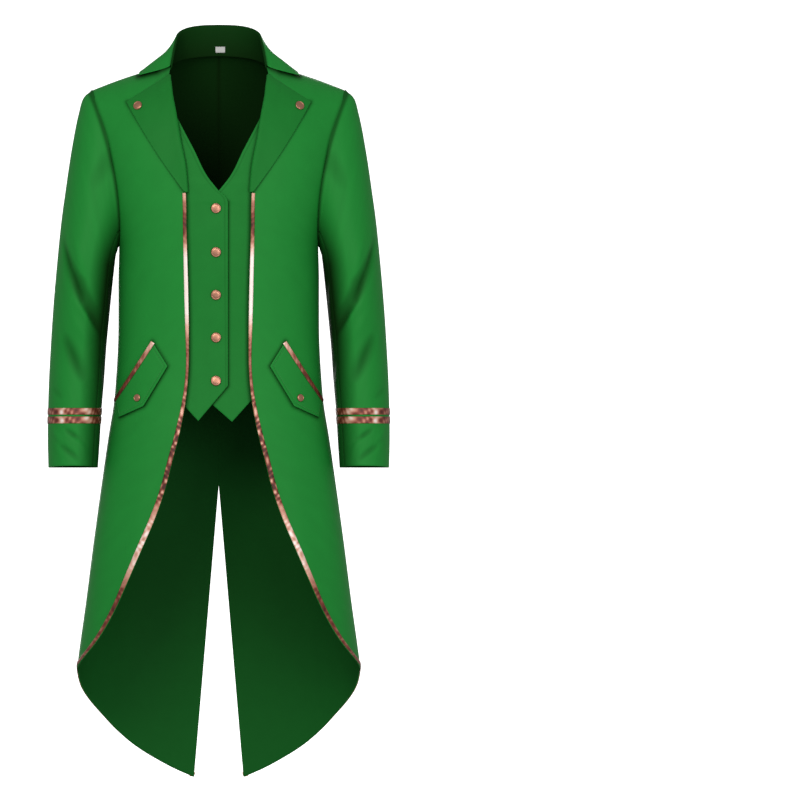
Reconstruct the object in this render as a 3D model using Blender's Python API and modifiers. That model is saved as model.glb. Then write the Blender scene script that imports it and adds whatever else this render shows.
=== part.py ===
"""Frock coat in its worn, hollow shape: cut-away fronts over a mock waistcoat, two tails.

Sizes are in millimetres until a mesh is made, and heights are measured from the shoulder at the neck.
The coat faces -Y, its left side is +X and +Z is up. Angles round the body run from 0 at the centre
front over 90 at the side to 180 at the centre back.
"""
import math
from collections import namedtuple

import bpy
import numpy as np
from mathutils import Vector

MILLIMETRE = 0.001

# Cloth and braid
WALL = 1.6
HALF_WALL = WALL / 2
BRAID_WALL = 1.0
SEAM_GAP = 0.3
LAYER_GAP = 0.9
SQUARENESS = 2.4

# Body sections below the armholes
BodySection = namedtuple("BodySection", "height half_width front_depth back_depth")
BODY_SECTIONS = [
    BodySection(-1175, 247, 160, 164),
    BodySection(-1070, 239, 155, 159),
    BodySection(-978, 230, 148, 154),
    BodySection(-872, 215.5, 139, 147),
    BodySection(-774, 203, 130, 139),
    BodySection(-676, 189.5, 121, 127),
    BodySection(-602, 178.8, 114, 116),
    BodySection(-553, 170.8, 108, 107),
    BodySection(-504, 166.5, 103, 99),
    BodySection(-447, 163.5, 101, 95),
    BodySection(-390, 163, 104, 98),
    BodySection(-340, 163, 109, 105),
    BodySection(-294, 162, 113, 111),
    BodySection(-230, 165, 116, 116),
    BodySection(-168, 172, 117, 118),
]

# Armhole, an egg-shaped loop that leans outwards at the shoulder
SHOULDER_TIP = (211.0, -42.0)
UNDERARM = (162.0, -294.0)
ARMHOLE_DEPTH = 58.0
ARMHOLE_HOLLOW = 14.0
ARMHOLE_ANGLES = (0, 16, 32, 48, 62, 76, 90, 107, 126, 144, 162, 180)
CHEST_HEIGHT = (SHOULDER_TIP[1] + UNDERARM[1]) / 2

# Neck and shoulder seams
NECK_HALF_WIDTH = 77.0
NECK_BACK_DEPTH = 68.0
NECK_SIDE_HEIGHT = 2.0
NECK_BACK_RISE = 17.0
SHOULDER_BELLY = 3.0
HALVINGS = 40

# Front edge: the lapel's roll line above the break, the cut-away below it
EdgePoint = namedtuple("EdgePoint", "height half_gap")
FRONT_EDGE = [
    EdgePoint(-978, 230),
    EdgePoint(-937, 198),
    EdgePoint(-888, 170),
    EdgePoint(-839, 148),
    EdgePoint(-790, 127),
    EdgePoint(-741, 106),
    EdgePoint(-692, 88.5),
    EdgePoint(-643, 75.5),
    EdgePoint(-594, 63),
    EdgePoint(-545, 54),
    EdgePoint(-505, 50),
    EdgePoint(-434, 49),
    EdgePoint(-366, 50),
    EdgePoint(-276, 52.5),
    EdgePoint(-207, 54),
    EdgePoint(-162, 58),
    EdgePoint(-121, 66),
    EdgePoint(-75, 74),
    EdgePoint(-39, 80.5),
    EdgePoint(-10, 81),
    EdgePoint(2, 77.5),
]
LAPEL_BREAK_HEIGHT = -207.0

# Hem height by the angle round the body, from the cut-away's corner to the tail's tip
HemPoint = namedtuple("HemPoint", "angle height")
HEM = [
    HemPoint(90, -978),
    HemPoint(97, -988),
    HemPoint(109, -1012),
    HemPoint(122, -1036),
    HemPoint(133, -1058),
    HemPoint(143, -1082),
    HemPoint(154, -1108),
    HemPoint(165, -1131),
    HemPoint(174, -1149),
    HemPoint(180, -1160),
]
SIDE_SEAM_TOP_ANGLE = 90.0
SIDE_SEAM_HEM_ANGLE = 100.0

# Tail vent
VENT_TOP = -678.0
VENT_SPREAD = 0.0845
VENT_BAR = (13.0, -650.0, -667.0)

PANEL_COLUMNS = 10
NECK_COLUMNS = 4
# Skirt rows as shares of the way to the hem, closer together where the cut-away meets it
SKIRT_SHARES = np.array(list(range(17)) + [16.6, 17.1, 17.5, 17.8, 18]) / 18
BRAID_WIDTH = 8.0
HEM_BRAID_WIDTH = 7.0

# Sleeves
CrownPoint = namedtuple("CrownPoint", "share out height")
SLEEVE_CROWN = [
    CrownPoint(0.0, 211, -42),
    CrownPoint(0.08, 220, -52),
    CrownPoint(0.22, 228, -78),
    CrownPoint(0.45, 239.5, -137),
    CrownPoint(0.7, 250.5, -211),
    CrownPoint(0.87, 257.5, -262),
    CrownPoint(1.0, 262, -309),
]
SLEEVE_UNDERARM = ((164.2, -295.0), (169.0, -309.0))
SleeveSection = namedtuple("SleeveSection", "height inner outer half_depth centre")
SLEEVE_SECTIONS = [
    SleeveSection(-655, 198, 277.5, 49, -20),
    SleeveSection(-610, 195, 278.5, 51, -12),
    SleeveSection(-560, 192, 278, 54, -4),
    SleeveSection(-513, 188, 276.5, 57, 3),
    SleeveSection(-456, 184, 273.5, 61, 7),
    SleeveSection(-399, 178.5, 269.8, 65, 4),
    SleeveSection(-350, 173.5, 265.8, 68, 1),
    SleeveSection(-309, 169, 262, 70, 0),
]
CUFF_HEIGHT = -655.0
SLEEVE_TOP_HEIGHT = -309.0
CUFF_ARCH = 3.0
FORE_SEAM_ANGLE = 144
HIND_SEAM_ANGLE = 234
CAP_SHARES = (0.0, 0.08, 0.22, 0.4, 0.6, 0.8, 1.0)
SLEEVE_HEIGHTS = (-328, -347, -366, -385, -404, -423, -442, -461, -480, -500, -522, -546,
                  -572, -600, -628, -655)

# Largest folds of a sleeve: troughs that run round and down it
Fold = namedtuple("Fold", "start_angle start_height end_angle end_height depth half_width")
SLEEVE_FOLDS = [
    Fold(36, -290, 138, -432, 4.0, 17),
    Fold(50, -424, 106, -500, 3.0, 15),
    Fold(-40, -298, -104, -404, 3.5, 17),
    Fold(-60, -430, -110, -500, 2.5, 15),
]
CUFF_BANDS = ((-558.5, -569.0), (-572.5, -583.5))

# Lapel, as seen from the front: outer corner, and how far its upper edge drops at the roll line
LAPEL_PEAK = (149.5, -59.0)
LAPEL_TOP_HEIGHT = -15.0
LAPEL_BELLY = 2.5
LAPEL_STUD = (130.5, -66.0)

# Mock waistcoat, seen from the front; the right side laps over the left
WaistcoatSide = namedtuple("WaistcoatSide", "sign lap lap_height tip_out tip_height sink")
WAISTCOAT_RIGHT = WaistcoatSide(-1, 15.0, -521.0, 34.0, -578.0, 5.0)
WAISTCOAT_LEFT = WaistcoatSide(1, 13.0, -549.0, 22.0, -579.0, 7.4)
WAISTCOAT_CORNER_HEIGHTS = (-222.0, -215.0, -209.0)
WAISTCOAT_CORNER_LAPS = (1.0, 0.85, 0.5)
WAISTCOAT_POINT_SLOPE = 1.07
WAISTCOAT_ROWS = 9
WAISTCOAT_SPAN = 92.0
WAISTCOAT_YOKE_START = -190.0
WAISTCOAT_YOKE_SINK = 3.0
WaistcoatEdge = namedtuple("WaistcoatEdge", "height v_edge side_edge")
WAISTCOAT_V = [
    WaistcoatEdge(-204, 0, 92),
    WaistcoatEdge(-180, 19, 96),
    WaistcoatEdge(-137, 40.5, 104),
    WaistcoatEdge(-77, 71.5, 116),
    WaistcoatEdge(-40, 90, 122),
]

# Pocket flap corners, as distance from the centre and height
FLAP_TOP_FRONT = (108.6, -449.0)
FLAP_LOW_FRONT = (83.3, -490.0)
FLAP_POINT = (121.7, -555.0)
FLAP_LOW_BACK = (160.0, -573.0)
FLAP_TOP_BACK = (166.4, -543.0)
FLAP_WALL = 2.0
FLAP_BRAID_WIDTH = 6.5
FLAP_BUTTON = (130.3, -542.0)

# Back belt
BELT_HALF_LENGTH = 87.5
BELT_TOP = -384.0
BELT_BOTTOM = -427.0
BELT_CORNER = 11.0
BELT_BUTTON = (75.3, -404.0)

# Collar stations from the centre back to the front end: neck angle, then fold and leaf edge
CollarStation = namedtuple("CollarStation", "neck_angle fold leaf_middle leaf_edge")
COLLAR_STATIONS = [
    CollarStation(0, (0, 74, 67), (0, 84, 44), (0, 90, 20)),
    CollarStation(22, (29, 70, 66), (32, 80, 44), (36, 86, 20)),
    CollarStation(43, (52, 55, 62), (60, 65, 42), (66, 71, 20)),
    CollarStation(62, (66, 33, 54), (77, 40, 36), (87, 45, 18)),
    CollarStation(85, (72, 9, 41), (88, 13, 24), (106, 16, 7)),
    CollarStation(97, (75, -9, 23), (97, -9, 7), (121, -10, -6)),
    CollarStation(105, (77, -23, 10), (102, -31, -6.5), (131, -31, -13.5)),
]
COLLAR_LIFT = 1.5
COLLAR_ROLL = 2.6

LABEL_SIZE = (15.5, 9.5)
LABEL_CENTRE = (2.5, 27.0)
LABEL_WALL = 0.5

# Buttons: a domed cap with a rolled rim
ButtonSize = namedtuple("ButtonSize", "radius height")
WAISTCOAT_BUTTON = ButtonSize(8.3, 4.2)
LAPEL_BUTTON = ButtonSize(7.5, 3.8)
FLAP_BUTTON_SIZE = ButtonSize(6.1, 3.2)
BELT_BUTTON_SIZE = ButtonSize(7.7, 4.0)
CUFF_BUTTON = ButtonSize(6.3, 3.4)
BUTTON_SIDES = 11
WAISTCOAT_BUTTON_OUT = -4.5
WAISTCOAT_BUTTON_HEIGHTS = (-232, -304, -374, -443, -513)
CUFF_BUTTON_ANGLE = 251
CUFF_BUTTON_HEIGHTS = (-593, -613.5, -634)

Finish = namedtuple("Finish", "colour roughness metallic")
GREEN_CLOTH = Finish((0.013, 0.2, 0.024), 0.6, 0.0)
DARK_GREEN_CLOTH = Finish((0.011, 0.16, 0.02), 0.6, 0.0)
ROSE_BRAID = Finish((0.52, 0.26, 0.2), 0.35, 0.8)
COPPER_METAL = Finish((0.6, 0.3, 0.2), 0.25, 1.0)
WHITE_LABEL = Finish((0.85, 0.85, 0.85), 0.7, 0.0)


def through(stations, values, at):
    """A smooth curve through the values at rising stations, as cubic pieces with chord slopes."""
    stations = np.asarray(stations, float)
    values = np.asarray(values, float)
    slopes = np.gradient(values, stations)
    left = np.clip(np.searchsorted(stations, at) - 1, 0, len(stations) - 2)
    span = stations[left + 1] - stations[left]
    t = (at - stations[left]) / span
    start = (2 * t**3 - 3 * t**2 + 1) * values[left] + (t**3 - 2 * t**2 + t) * span * slopes[left]
    end = (3 * t**2 - 2 * t**3) * values[left + 1] + (t**3 - t**2) * span * slopes[left + 1]
    return start + end


def column(rows, name):
    """One named column of a table."""
    return [getattr(row, name) for row in rows]


def unit(vectors):
    """Vectors of length one."""
    return vectors / np.linalg.norm(vectors, axis=-1, keepdims=True)


def rounded(value):
    """The power that squares an ellipse towards a superellipse."""
    return np.sign(value) * np.abs(value) ** (2 / SQUARENESS)


def front_edge(height):
    """Distance of the coat's front edge from the centre at a height."""
    return through(column(FRONT_EDGE, "height"), column(FRONT_EDGE, "half_gap"), height)


def vent_edge(height):
    """Distance of a tail's vent edge from the centre at a height."""
    return np.maximum(VENT_TOP - height, 0) * VENT_SPREAD


def armhole(angle):
    """Point of the left armhole seam: 0 is the shoulder tip, 90 the front, 180 the underarm."""
    turn = np.radians(angle)
    cosine, sine = np.cos(turn), np.sin(turn)
    out = (SHOULDER_TIP[0] + UNDERARM[0]) / 2 + (SHOULDER_TIP[0] - UNDERARM[0]) / 2 * cosine
    height = CHEST_HEIGHT + (SHOULDER_TIP[1] - UNDERARM[1]) / 2 * cosine
    return np.stack([out - ARMHOLE_HOLLOW * sine**2, -ARMHOLE_DEPTH * sine, height], axis=-1)


def section_depth(height, back):
    """Depth of the body section, measured to the front or to the back."""
    heights = column(BODY_SECTIONS, "height")
    front_depth = through(heights, column(BODY_SECTIONS, "front_depth"), height)
    back_depth = through(heights, column(BODY_SECTIONS, "back_depth"), height)
    return np.where(back, back_depth, front_depth)


def section_half_width(height, back):
    """Half width of the section; above the underarm it is the one that passes through the armhole."""
    table = through(column(BODY_SECTIONS, "height"), column(BODY_SECTIONS, "half_width"), height)
    level = np.clip((height - CHEST_HEIGHT) / (CHEST_HEIGHT - UNDERARM[1]), -1, 0)
    seam = armhole(np.degrees(np.arccos(level)))
    reach = (np.abs(seam[..., 1]) / section_depth(height, back)) ** SQUARENESS
    through_seam = seam[..., 0] / (1 - reach) ** (1 / SQUARENESS)
    return np.where(height > UNDERARM[1], through_seam, table)


def body_point(angle, height):
    """Point of the body surface on its left side, at an angle round it and a height."""
    angle, height = np.broadcast_arrays(np.asarray(angle, float), np.asarray(height, float))
    back = angle > 90
    turn = np.radians(angle)
    out = section_half_width(height, back) * rounded(np.sin(turn))
    deep = -section_depth(height, back) * rounded(np.cos(turn))
    return np.stack([out, deep, height], axis=-1)


def angle_at(out, height, back):
    """Angle round the body of the point that lies this far from the centre."""
    ratio = np.clip(out / section_half_width(height, back), 0, 1) ** (SQUARENESS / 2)
    angle = np.degrees(np.arcsin(ratio))
    return np.where(back, 180 - angle, angle)


def body_normal(angle, height):
    """Outward direction of the body surface."""
    step_angle, step_height = 0.4, 1.0
    across = body_point(angle + step_angle, height) - body_point(angle - step_angle, height)
    upward = body_point(angle, height + step_height) - body_point(angle, height - step_height)
    return unit(np.cross(across, upward))


def shoulder_seam(out):
    """Point of the shoulder seam at a distance from the centre."""
    share = (out - NECK_HALF_WIDTH) / (SHOULDER_TIP[0] - NECK_HALF_WIDTH)
    fall = NECK_SIDE_HEIGHT + (SHOULDER_TIP[1] - NECK_SIDE_HEIGHT) * share
    height = fall + SHOULDER_BELLY * np.sin(np.pi * np.clip(share, 0, 1))
    return np.stack([out, np.zeros_like(out), height], axis=-1)


def neck_seam(angle):
    """Point of the back neck seam: 0 at the centre back, 90 at the shoulder seam."""
    turn = np.radians(np.asarray(angle, float))
    deep = NECK_BACK_DEPTH * np.cos(turn)
    height = NECK_SIDE_HEIGHT + NECK_BACK_RISE * np.cos(turn)
    return np.stack([NECK_HALF_WIDTH * np.sin(turn), deep, height], axis=-1)


def yoke_point(chest, top, rise):
    """Quarter-ellipse profile from the chest line, where it is upright, to the top, where it lies flat."""
    turn = np.radians(90 * rise)
    inward = 1 - np.cos(turn)
    share = np.stack([inward, inward, np.sin(turn)], axis=-1)
    return chest + (top - chest) * share


def front_yoke(across, rise):
    """Upper front: across runs from the roll line at 0 to the armhole at 1, rise from chest to shoulder."""
    across, rise = np.broadcast_arrays(np.asarray(across, float), np.asarray(rise, float))
    edge_angle = angle_at(front_edge(CHEST_HEIGHT), CHEST_HEIGHT, False)
    seam_angle = angle_at(armhole(90)[0], CHEST_HEIGHT, False)

    def plain(share):
        chest = body_point(edge_angle + share * (seam_angle - edge_angle), CHEST_HEIGHT)
        top = shoulder_seam(NECK_HALF_WIDTH + share * (SHOULDER_TIP[0] - NECK_HALF_WIDTH))
        return yoke_point(chest, top, rise)

    points = plain(across)
    at_roll = plain(np.zeros_like(across))
    at_seam = plain(np.ones_like(across))
    pull_to_roll = front_edge(at_roll[..., 2]) - at_roll[..., 0]
    near_roll = np.clip(1 - across, 0, 1) ** 2
    near_seam = np.clip(across, 0, 1) ** 3
    points = points + (armhole(90 * (1 - rise)) - at_seam) * near_seam[..., None]
    points[..., 0] += pull_to_roll * near_roll
    return points


def back_top(columns):
    """Upper boundary of the back at whole-numbered columns: neck seam, then shoulder seam."""
    neck = neck_seam(90 * np.clip(columns / NECK_COLUMNS, 0, 1))
    share = np.clip((columns - NECK_COLUMNS) / (PANEL_COLUMNS - NECK_COLUMNS), 0, 1)
    shoulder = shoulder_seam(NECK_HALF_WIDTH + share * (SHOULDER_TIP[0] - NECK_HALF_WIDTH))
    return np.where((columns <= NECK_COLUMNS)[..., None], neck, shoulder)


def back_yoke(columns, rise):
    """Upper back from the centre seam to the armhole, with the profile of the front's."""
    columns, rise = np.broadcast_arrays(np.asarray(columns, float), np.asarray(rise, float))
    share = columns / PANEL_COLUMNS
    seam_angle = angle_at(armhole(90)[0], CHEST_HEIGHT, True)

    def plain(part, top):
        return yoke_point(body_point(180 + part * (seam_angle - 180), CHEST_HEIGHT), top, rise)

    points = plain(share, back_top(columns))
    at_seam = plain(np.ones_like(share), back_top(np.full_like(columns, PANEL_COLUMNS)))
    seam = armhole(-90 * (1 - rise))
    return points + (seam - at_seam) * (share**3)[..., None]


def hem_height(angle):
    """Height of the hem at an angle round the body."""
    return through(column(HEM, "angle"), column(HEM, "height"), angle)


def side_seam_angle(share):
    """Angle of the side seam, a share of the way from the underarm to the hem."""
    return SIDE_SEAM_TOP_ANGLE + (SIDE_SEAM_HEM_ANGLE - SIDE_SEAM_TOP_ANGLE) * np.sqrt(share)


def skirt_height(share, hem_angle):
    """Height of a skirt row; all rows start level at the underarm and the last is the hem."""
    return UNDERARM[1] + share * (hem_height(hem_angle) - UNDERARM[1])


def front_skirt(across, share):
    """Front below the underarm, from the front edge at 0 to the side seam at 1."""
    hem_angle = 90 + across * (SIDE_SEAM_HEM_ANGLE - 90)
    height = skirt_height(share, hem_angle)
    edge_height = skirt_height(share, np.full_like(across, 90))
    edge_angle = angle_at(front_edge(edge_height), edge_height, False)
    angle = edge_angle + across * (side_seam_angle(share) - edge_angle)
    return angle, height


def back_skirt(across, share):
    """Back below the underarm, from the centre seam or vent at 0 to the side seam at 1."""
    hem_angle = 180 + across * (SIDE_SEAM_HEM_ANGLE - 180)
    height = skirt_height(share, hem_angle)
    centre_height = skirt_height(share, np.full_like(across, 180))
    centre_angle = angle_at(vent_edge(centre_height), centre_height, True)
    angle = centre_angle + across * (side_seam_angle(share) - centre_angle)
    return angle, height


def front_sheet(out, height):
    """Point and outward direction of the front surface, placed as seen from the front."""

    def point(out, height):
        angle = angle_at(np.abs(out), np.minimum(height, CHEST_HEIGHT), False)
        low = body_point(angle, np.minimum(height, CHEST_HEIGHT))
        left, right = np.full_like(out, -1.5), np.full_like(out, 1.0)
        for _ in range(HALVINGS):
            middle = (left + right) / 2
            top = shoulder_seam(NECK_HALF_WIDTH + middle * (SHOULDER_TIP[0] - NECK_HALF_WIDTH))[..., 2]
            lift = np.clip((height - CHEST_HEIGHT) / (top - CHEST_HEIGHT), 0, 1)
            rise = np.arcsin(lift) / (np.pi / 2)
            inside = front_yoke(middle, rise)[..., 0] < np.abs(out)
            left = np.where(inside, middle, left)
            right = np.where(inside, right, middle)
        high = front_yoke(left, rise)
        both = np.where((height > CHEST_HEIGHT)[..., None], high, low)
        return np.stack([out, both[..., 1], height], axis=-1)

    out, height = np.broadcast_arrays(np.asarray(out, float), np.asarray(height, float))
    here = point(out, height)
    slope_out = point(out + 1, height)[..., 1] - point(out - 1, height)[..., 1]
    slope_up = point(out, height + 1)[..., 1] - point(out, height - 1)[..., 1]
    return here, unit(np.stack([slope_out / 2, -np.ones_like(out), slope_up / 2], axis=-1))


def fold_depth(angle, height):
    """How far the sleeve's folds sink its surface at an angle round it and a height."""
    angle = (np.asarray(angle, float) + 180) % 360 - 180
    arc = math.radians(1) * 55
    total = np.zeros(np.broadcast(angle, height).shape)
    for fold in SLEEVE_FOLDS:
        start = np.array([fold.start_angle * arc, fold.start_height])
        run = np.array([fold.end_angle * arc, fold.end_height]) - start
        place = np.stack(np.broadcast_arrays(angle * arc, height), axis=-1) - start
        along = np.clip(place @ run / (run @ run), 0, 1)
        away = np.linalg.norm(place - along[..., None] * run, axis=-1)
        fade = np.sin(np.pi * np.clip(along, 0.06, 0.94))
        total = total + fold.depth * fade * np.exp(-((away / fold.half_width) ** 2))
    return total


def sleeve_ring(angle, centre, crown_arm, half_depth, hollow):
    """One oval section of the sleeve: 0 is its outer side, 90 the front, 180 the body's side."""
    turn = np.radians(angle)
    ring = centre + np.cos(turn)[..., None] * crown_arm
    ring[..., 0] -= hollow * np.sin(turn) ** 2
    ring[..., 1] -= half_depth * np.sin(turn)
    return ring


def sleeve_cap(angle, share):
    """Section of the sleeve's cap, which turns from the armhole at 0 to level at 1."""
    shares = column(SLEEVE_CROWN, "share")
    crown = np.array([through(shares, column(SLEEVE_CROWN, "out"), share), 0,
                      through(shares, column(SLEEVE_CROWN, "height"), share)])
    start, end = SLEEVE_UNDERARM
    under = np.array([start[0] + share * (end[0] - start[0]), 0, start[1] + share * (end[1] - start[1])])
    half_depth = ARMHOLE_DEPTH + share * (SLEEVE_SECTIONS[-1].half_depth - ARMHOLE_DEPTH)
    return sleeve_ring(angle, (crown + under) / 2, (crown - under) / 2, half_depth,
                       ARMHOLE_HOLLOW * (1 - share))


def sleeve_section(angle, height):
    """Level section of the sleeve below its cap, with its folds sunk in."""
    heights = column(SLEEVE_SECTIONS, "height")
    inner, outer, half_depth, middle = [
        through(heights, column(SLEEVE_SECTIONS, name), height)
        for name in ("inner", "outer", "half_depth", "centre")
    ]
    sink = fold_depth(angle, height)
    turn = np.radians(angle)
    out = (inner + outer) / 2 + ((outer - inner) / 2 - sink) * np.cos(turn)
    deep = middle - (half_depth - sink) * np.sin(turn)
    low = np.clip((height - SLEEVE_TOP_HEIGHT) / (CUFF_HEIGHT - SLEEVE_TOP_HEIGHT), 0, 1)
    arch = CUFF_ARCH * np.clip(np.sin(turn), 0, 1) * low**8
    return np.stack(np.broadcast_arrays(out, deep, height + arch), axis=-1)


def sleeve_point(angle, height):
    """Point and outward direction of the sleeve below its cap."""
    here = sleeve_section(angle, height)
    across = sleeve_section(angle + 1, height) - sleeve_section(angle - 1, height)
    upward = sleeve_section(angle, height + 1) - sleeve_section(angle, height - 1)
    return here, unit(np.cross(upward, across))


def inset(points, side, distance):
    """Moves one side of a grid of points inwards along the cloth, for a seam's gap."""
    moved = points.copy()
    view = {"first_row": (0, 1), "last_row": (-1, -2)}.get(side)
    if view:
        edge, inner = view
        moved[edge] += unit(points[inner] - points[edge]) * distance
    else:
        edge, inner = {"first_column": (0, 1), "last_column": (-1, -2)}[side]
        moved[:, edge] += unit(points[:, inner] - points[:, edge]) * distance
    return moved


def grid_normals(points, centre, closed=False):
    """Directions square to a grid of points, on the side away from a centre."""
    if closed:
        across = np.roll(points, -1, axis=1) - np.roll(points, 1, axis=1)
    else:
        across = np.gradient(points, axis=1)
    normals = unit(np.cross(np.gradient(points, axis=0), across))
    return normals * np.sign(np.sum(normals * (points - centre)))


def dress(part, finish):
    """Gives a piece its own plain material."""
    material = bpy.data.materials.new(part.name)
    material.use_nodes = True
    shader = material.node_tree.nodes["Principled BSDF"]
    shader.inputs["Base Color"].default_value = (*finish.colour, 1)
    shader.inputs["Roughness"].default_value = finish.roughness
    shader.inputs["Metallic"].default_value = finish.metallic
    part.data.materials.append(material)


def add_object(name, mesh, finish):
    """Puts a finished mesh into the coat's collection."""
    part = bpy.data.objects.new(name, mesh)
    bpy.data.collections["frock_coat"].objects.link(part)
    dress(part, finish)
    return part


def enclosed_volume(points, faces):
    """Signed volume of a closed mesh, positive where its faces point outwards."""
    total = 0.0
    for face in faces:
        first = points[face[0]]
        for second, third in zip(face[1:-1], face[2:]):
            total += np.dot(first, np.cross(points[second], points[third]))
    return total / 6


def add_wall(name, points, normals, inner, outer, finish, mirror=False, closed=False):
    """Closed cloth wall between two offsets from a grid of points."""
    rows, columns = points.shape[:2]
    outside = (points + normals * outer).reshape(-1, 3)
    inside = (points + normals * inner).reshape(-1, 3)
    vertices = np.concatenate([outside, inside])
    if mirror:
        vertices = vertices * (-1, 1, 1)
    count = rows * columns
    spans = columns if closed else columns - 1
    faces = []
    for row in range(rows - 1):
        for start in range(spans):
            end = (start + 1) % columns
            corners = [row * columns + start, row * columns + end,
                       (row + 1) * columns + end, (row + 1) * columns + start]
            faces.append(corners)
            faces.append([corner + count for corner in reversed(corners)])
    rims = [[(0, start), (0, (start + 1) % columns)] for start in range(spans)]
    rims += [[(rows - 1, (start + 1) % columns), (rows - 1, start)] for start in range(spans)]
    if not closed:
        rims += [[(row + 1, 0), (row, 0)] for row in range(rows - 1)]
        rims += [[(row, columns - 1), (row + 1, columns - 1)] for row in range(rows - 1)]
    for first, second in rims:
        a = first[0] * columns + first[1]
        b = second[0] * columns + second[1]
        faces.append([b, a, a + count, b + count])
    if enclosed_volume(vertices, faces) < 0:
        faces = [list(reversed(face)) for face in faces]
    mesh = bpy.data.meshes.new(name)
    mesh.from_pydata((vertices * MILLIMETRE).tolist(), [], faces)
    mesh.shade_smooth()
    mesh.set_sharp_from_angle(angle=math.radians(40))
    return add_object(name, mesh, finish)


def add_button(name, size, centre, direction, base_offset, mirror=False):
    """Domed metal button turned on its own axis, seated on cloth at base_offset."""
    radius, height = size
    profile = [
        (0.0, height),
        (radius * 0.55, height * 0.9),
        (radius * 0.88, height * 0.62),
        (radius, height * 0.36),
        (radius * 0.93, 0.0),
        (0.0, 0.0),
    ]
    mesh = bpy.data.meshes.new(name)
    points = [(out * MILLIMETRE, 0, up * MILLIMETRE) for out, up in profile]
    mesh.from_pydata(points, [(k, k + 1) for k in range(len(points) - 1)], [])
    part = add_object(name, mesh, COPPER_METAL)
    screw = part.modifiers.new("turned", "SCREW")
    screw.steps = BUTTON_SIDES
    screw.render_steps = BUTTON_SIDES
    screw.use_merge_vertices = True
    screw.merge_threshold = 0.00005
    screw.use_normal_calculate = True
    place = np.asarray(centre) + np.asarray(direction) * base_offset
    side = np.array([-1 if mirror else 1, 1, 1])
    part.location = (place * side * MILLIMETRE).tolist()
    part.rotation_mode = "QUATERNION"
    from_axis = Vector((0, 0, 1))
    part.rotation_quaternion = from_axis.rotation_difference(Vector((direction * side).tolist()))
    return part


def shifted(angle, height, sideways):
    """A path on the body surface moved square to itself along the surface."""
    step = 0.5
    along_angle = (body_point(angle + step, height) - body_point(angle - step, height)) / (2 * step)
    along_height = (body_point(angle, height + step) - body_point(angle, height - step)) / (2 * step)
    run = unit(np.gradient(body_point(angle, height), axis=0))
    square = np.cross(body_normal(angle, height), run) * sideways
    frame = np.stack([along_angle, along_height], axis=-1)
    moves = np.linalg.solve(
        np.swapaxes(frame, -1, -2) @ frame, (np.swapaxes(frame, -1, -2) @ square[..., None])
    )[..., 0]
    return angle + moves[..., 0], height + moves[..., 1]


def add_braid(name, angle, height, width, base, mirror):
    """Strip of braid along a path on the body surface, as wide as given to the path's inner side."""
    paths = [(angle, height), shifted(angle, height, width)]
    points = np.stack([body_point(*path) for path in paths], axis=1)
    normals = np.stack([body_normal(*path) for path in paths], axis=1)
    return add_wall(name, points, normals, base, base + BRAID_WALL, ROSE_BRAID, mirror)


def front_panel():
    """Grid of the coat front from the shoulder to the hem, and its outward directions."""
    across = np.linspace(0, 1, PANEL_COLUMNS + 1)
    rows = [front_yoke(across, 1 - angle / 90) for angle in ARMHOLE_ANGLES if angle < 90]
    for angle in ARMHOLE_ANGLES:
        if 90 <= angle < 180:
            out, _, height = armhole(angle)
            edge_angle = angle_at(front_edge(height), height, False)
            seam_angle = angle_at(out, height, False)
            rows.append(body_point(edge_angle + across * (seam_angle - edge_angle), height))
    rows += [body_point(*front_skirt(across, share)) for share in SKIRT_SHARES]
    points = np.array(rows)
    normals = grid_normals(points, np.array([0, 0, UNDERARM[1]]))
    normals[0, :, 1] = 0
    return points, unit(normals)


def back_panel():
    """Grid of the coat back from the neck and shoulder to the hem, and its outward directions."""
    columns = np.arange(PANEL_COLUMNS + 1)
    across = columns / PANEL_COLUMNS
    rows = [back_yoke(columns, 1 - angle / 90) for angle in ARMHOLE_ANGLES if angle < 90]
    for angle in ARMHOLE_ANGLES:
        if 90 <= angle < 180:
            out, _, height = armhole(angle)
            rows.append(body_point(180 + across * (angle_at(out, height, True) - 180), height))
    rows += [body_point(*back_skirt(across, share)) for share in SKIRT_SHARES]
    points = np.array(rows)
    normals = grid_normals(points, np.array([0, 0, UNDERARM[1]]))
    normals[0, NECK_COLUMNS:, 1] = 0
    normals[points[:, 0, 2] > VENT_TOP, 0, 0] = 0
    return points, unit(normals)


def add_body(side, mirror, front, back):
    """One coat front and one coat back, with the seams between them opened by their gap."""
    front_points, front_normals = front
    back_points, back_normals = back
    seam_rows = slice(-len(SKIRT_SHARES), None)
    shared = unit(front_normals[seam_rows, -1] + back_normals[seam_rows, -1])
    front_normals[seam_rows, -1] = shared
    back_normals[seam_rows, -1] = shared
    for name, points, normals in (
        ("coat_front_" + side, front_points, front_normals),
        ("coat_back_" + side, back_points, back_normals),
    ):
        for edge in ("first_row", "last_column", "first_column"):
            points = inset(points, edge, SEAM_GAP / 2)
        add_wall(name, points, normals, -HALF_WALL, HALF_WALL, GREEN_CLOTH, mirror)


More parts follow.
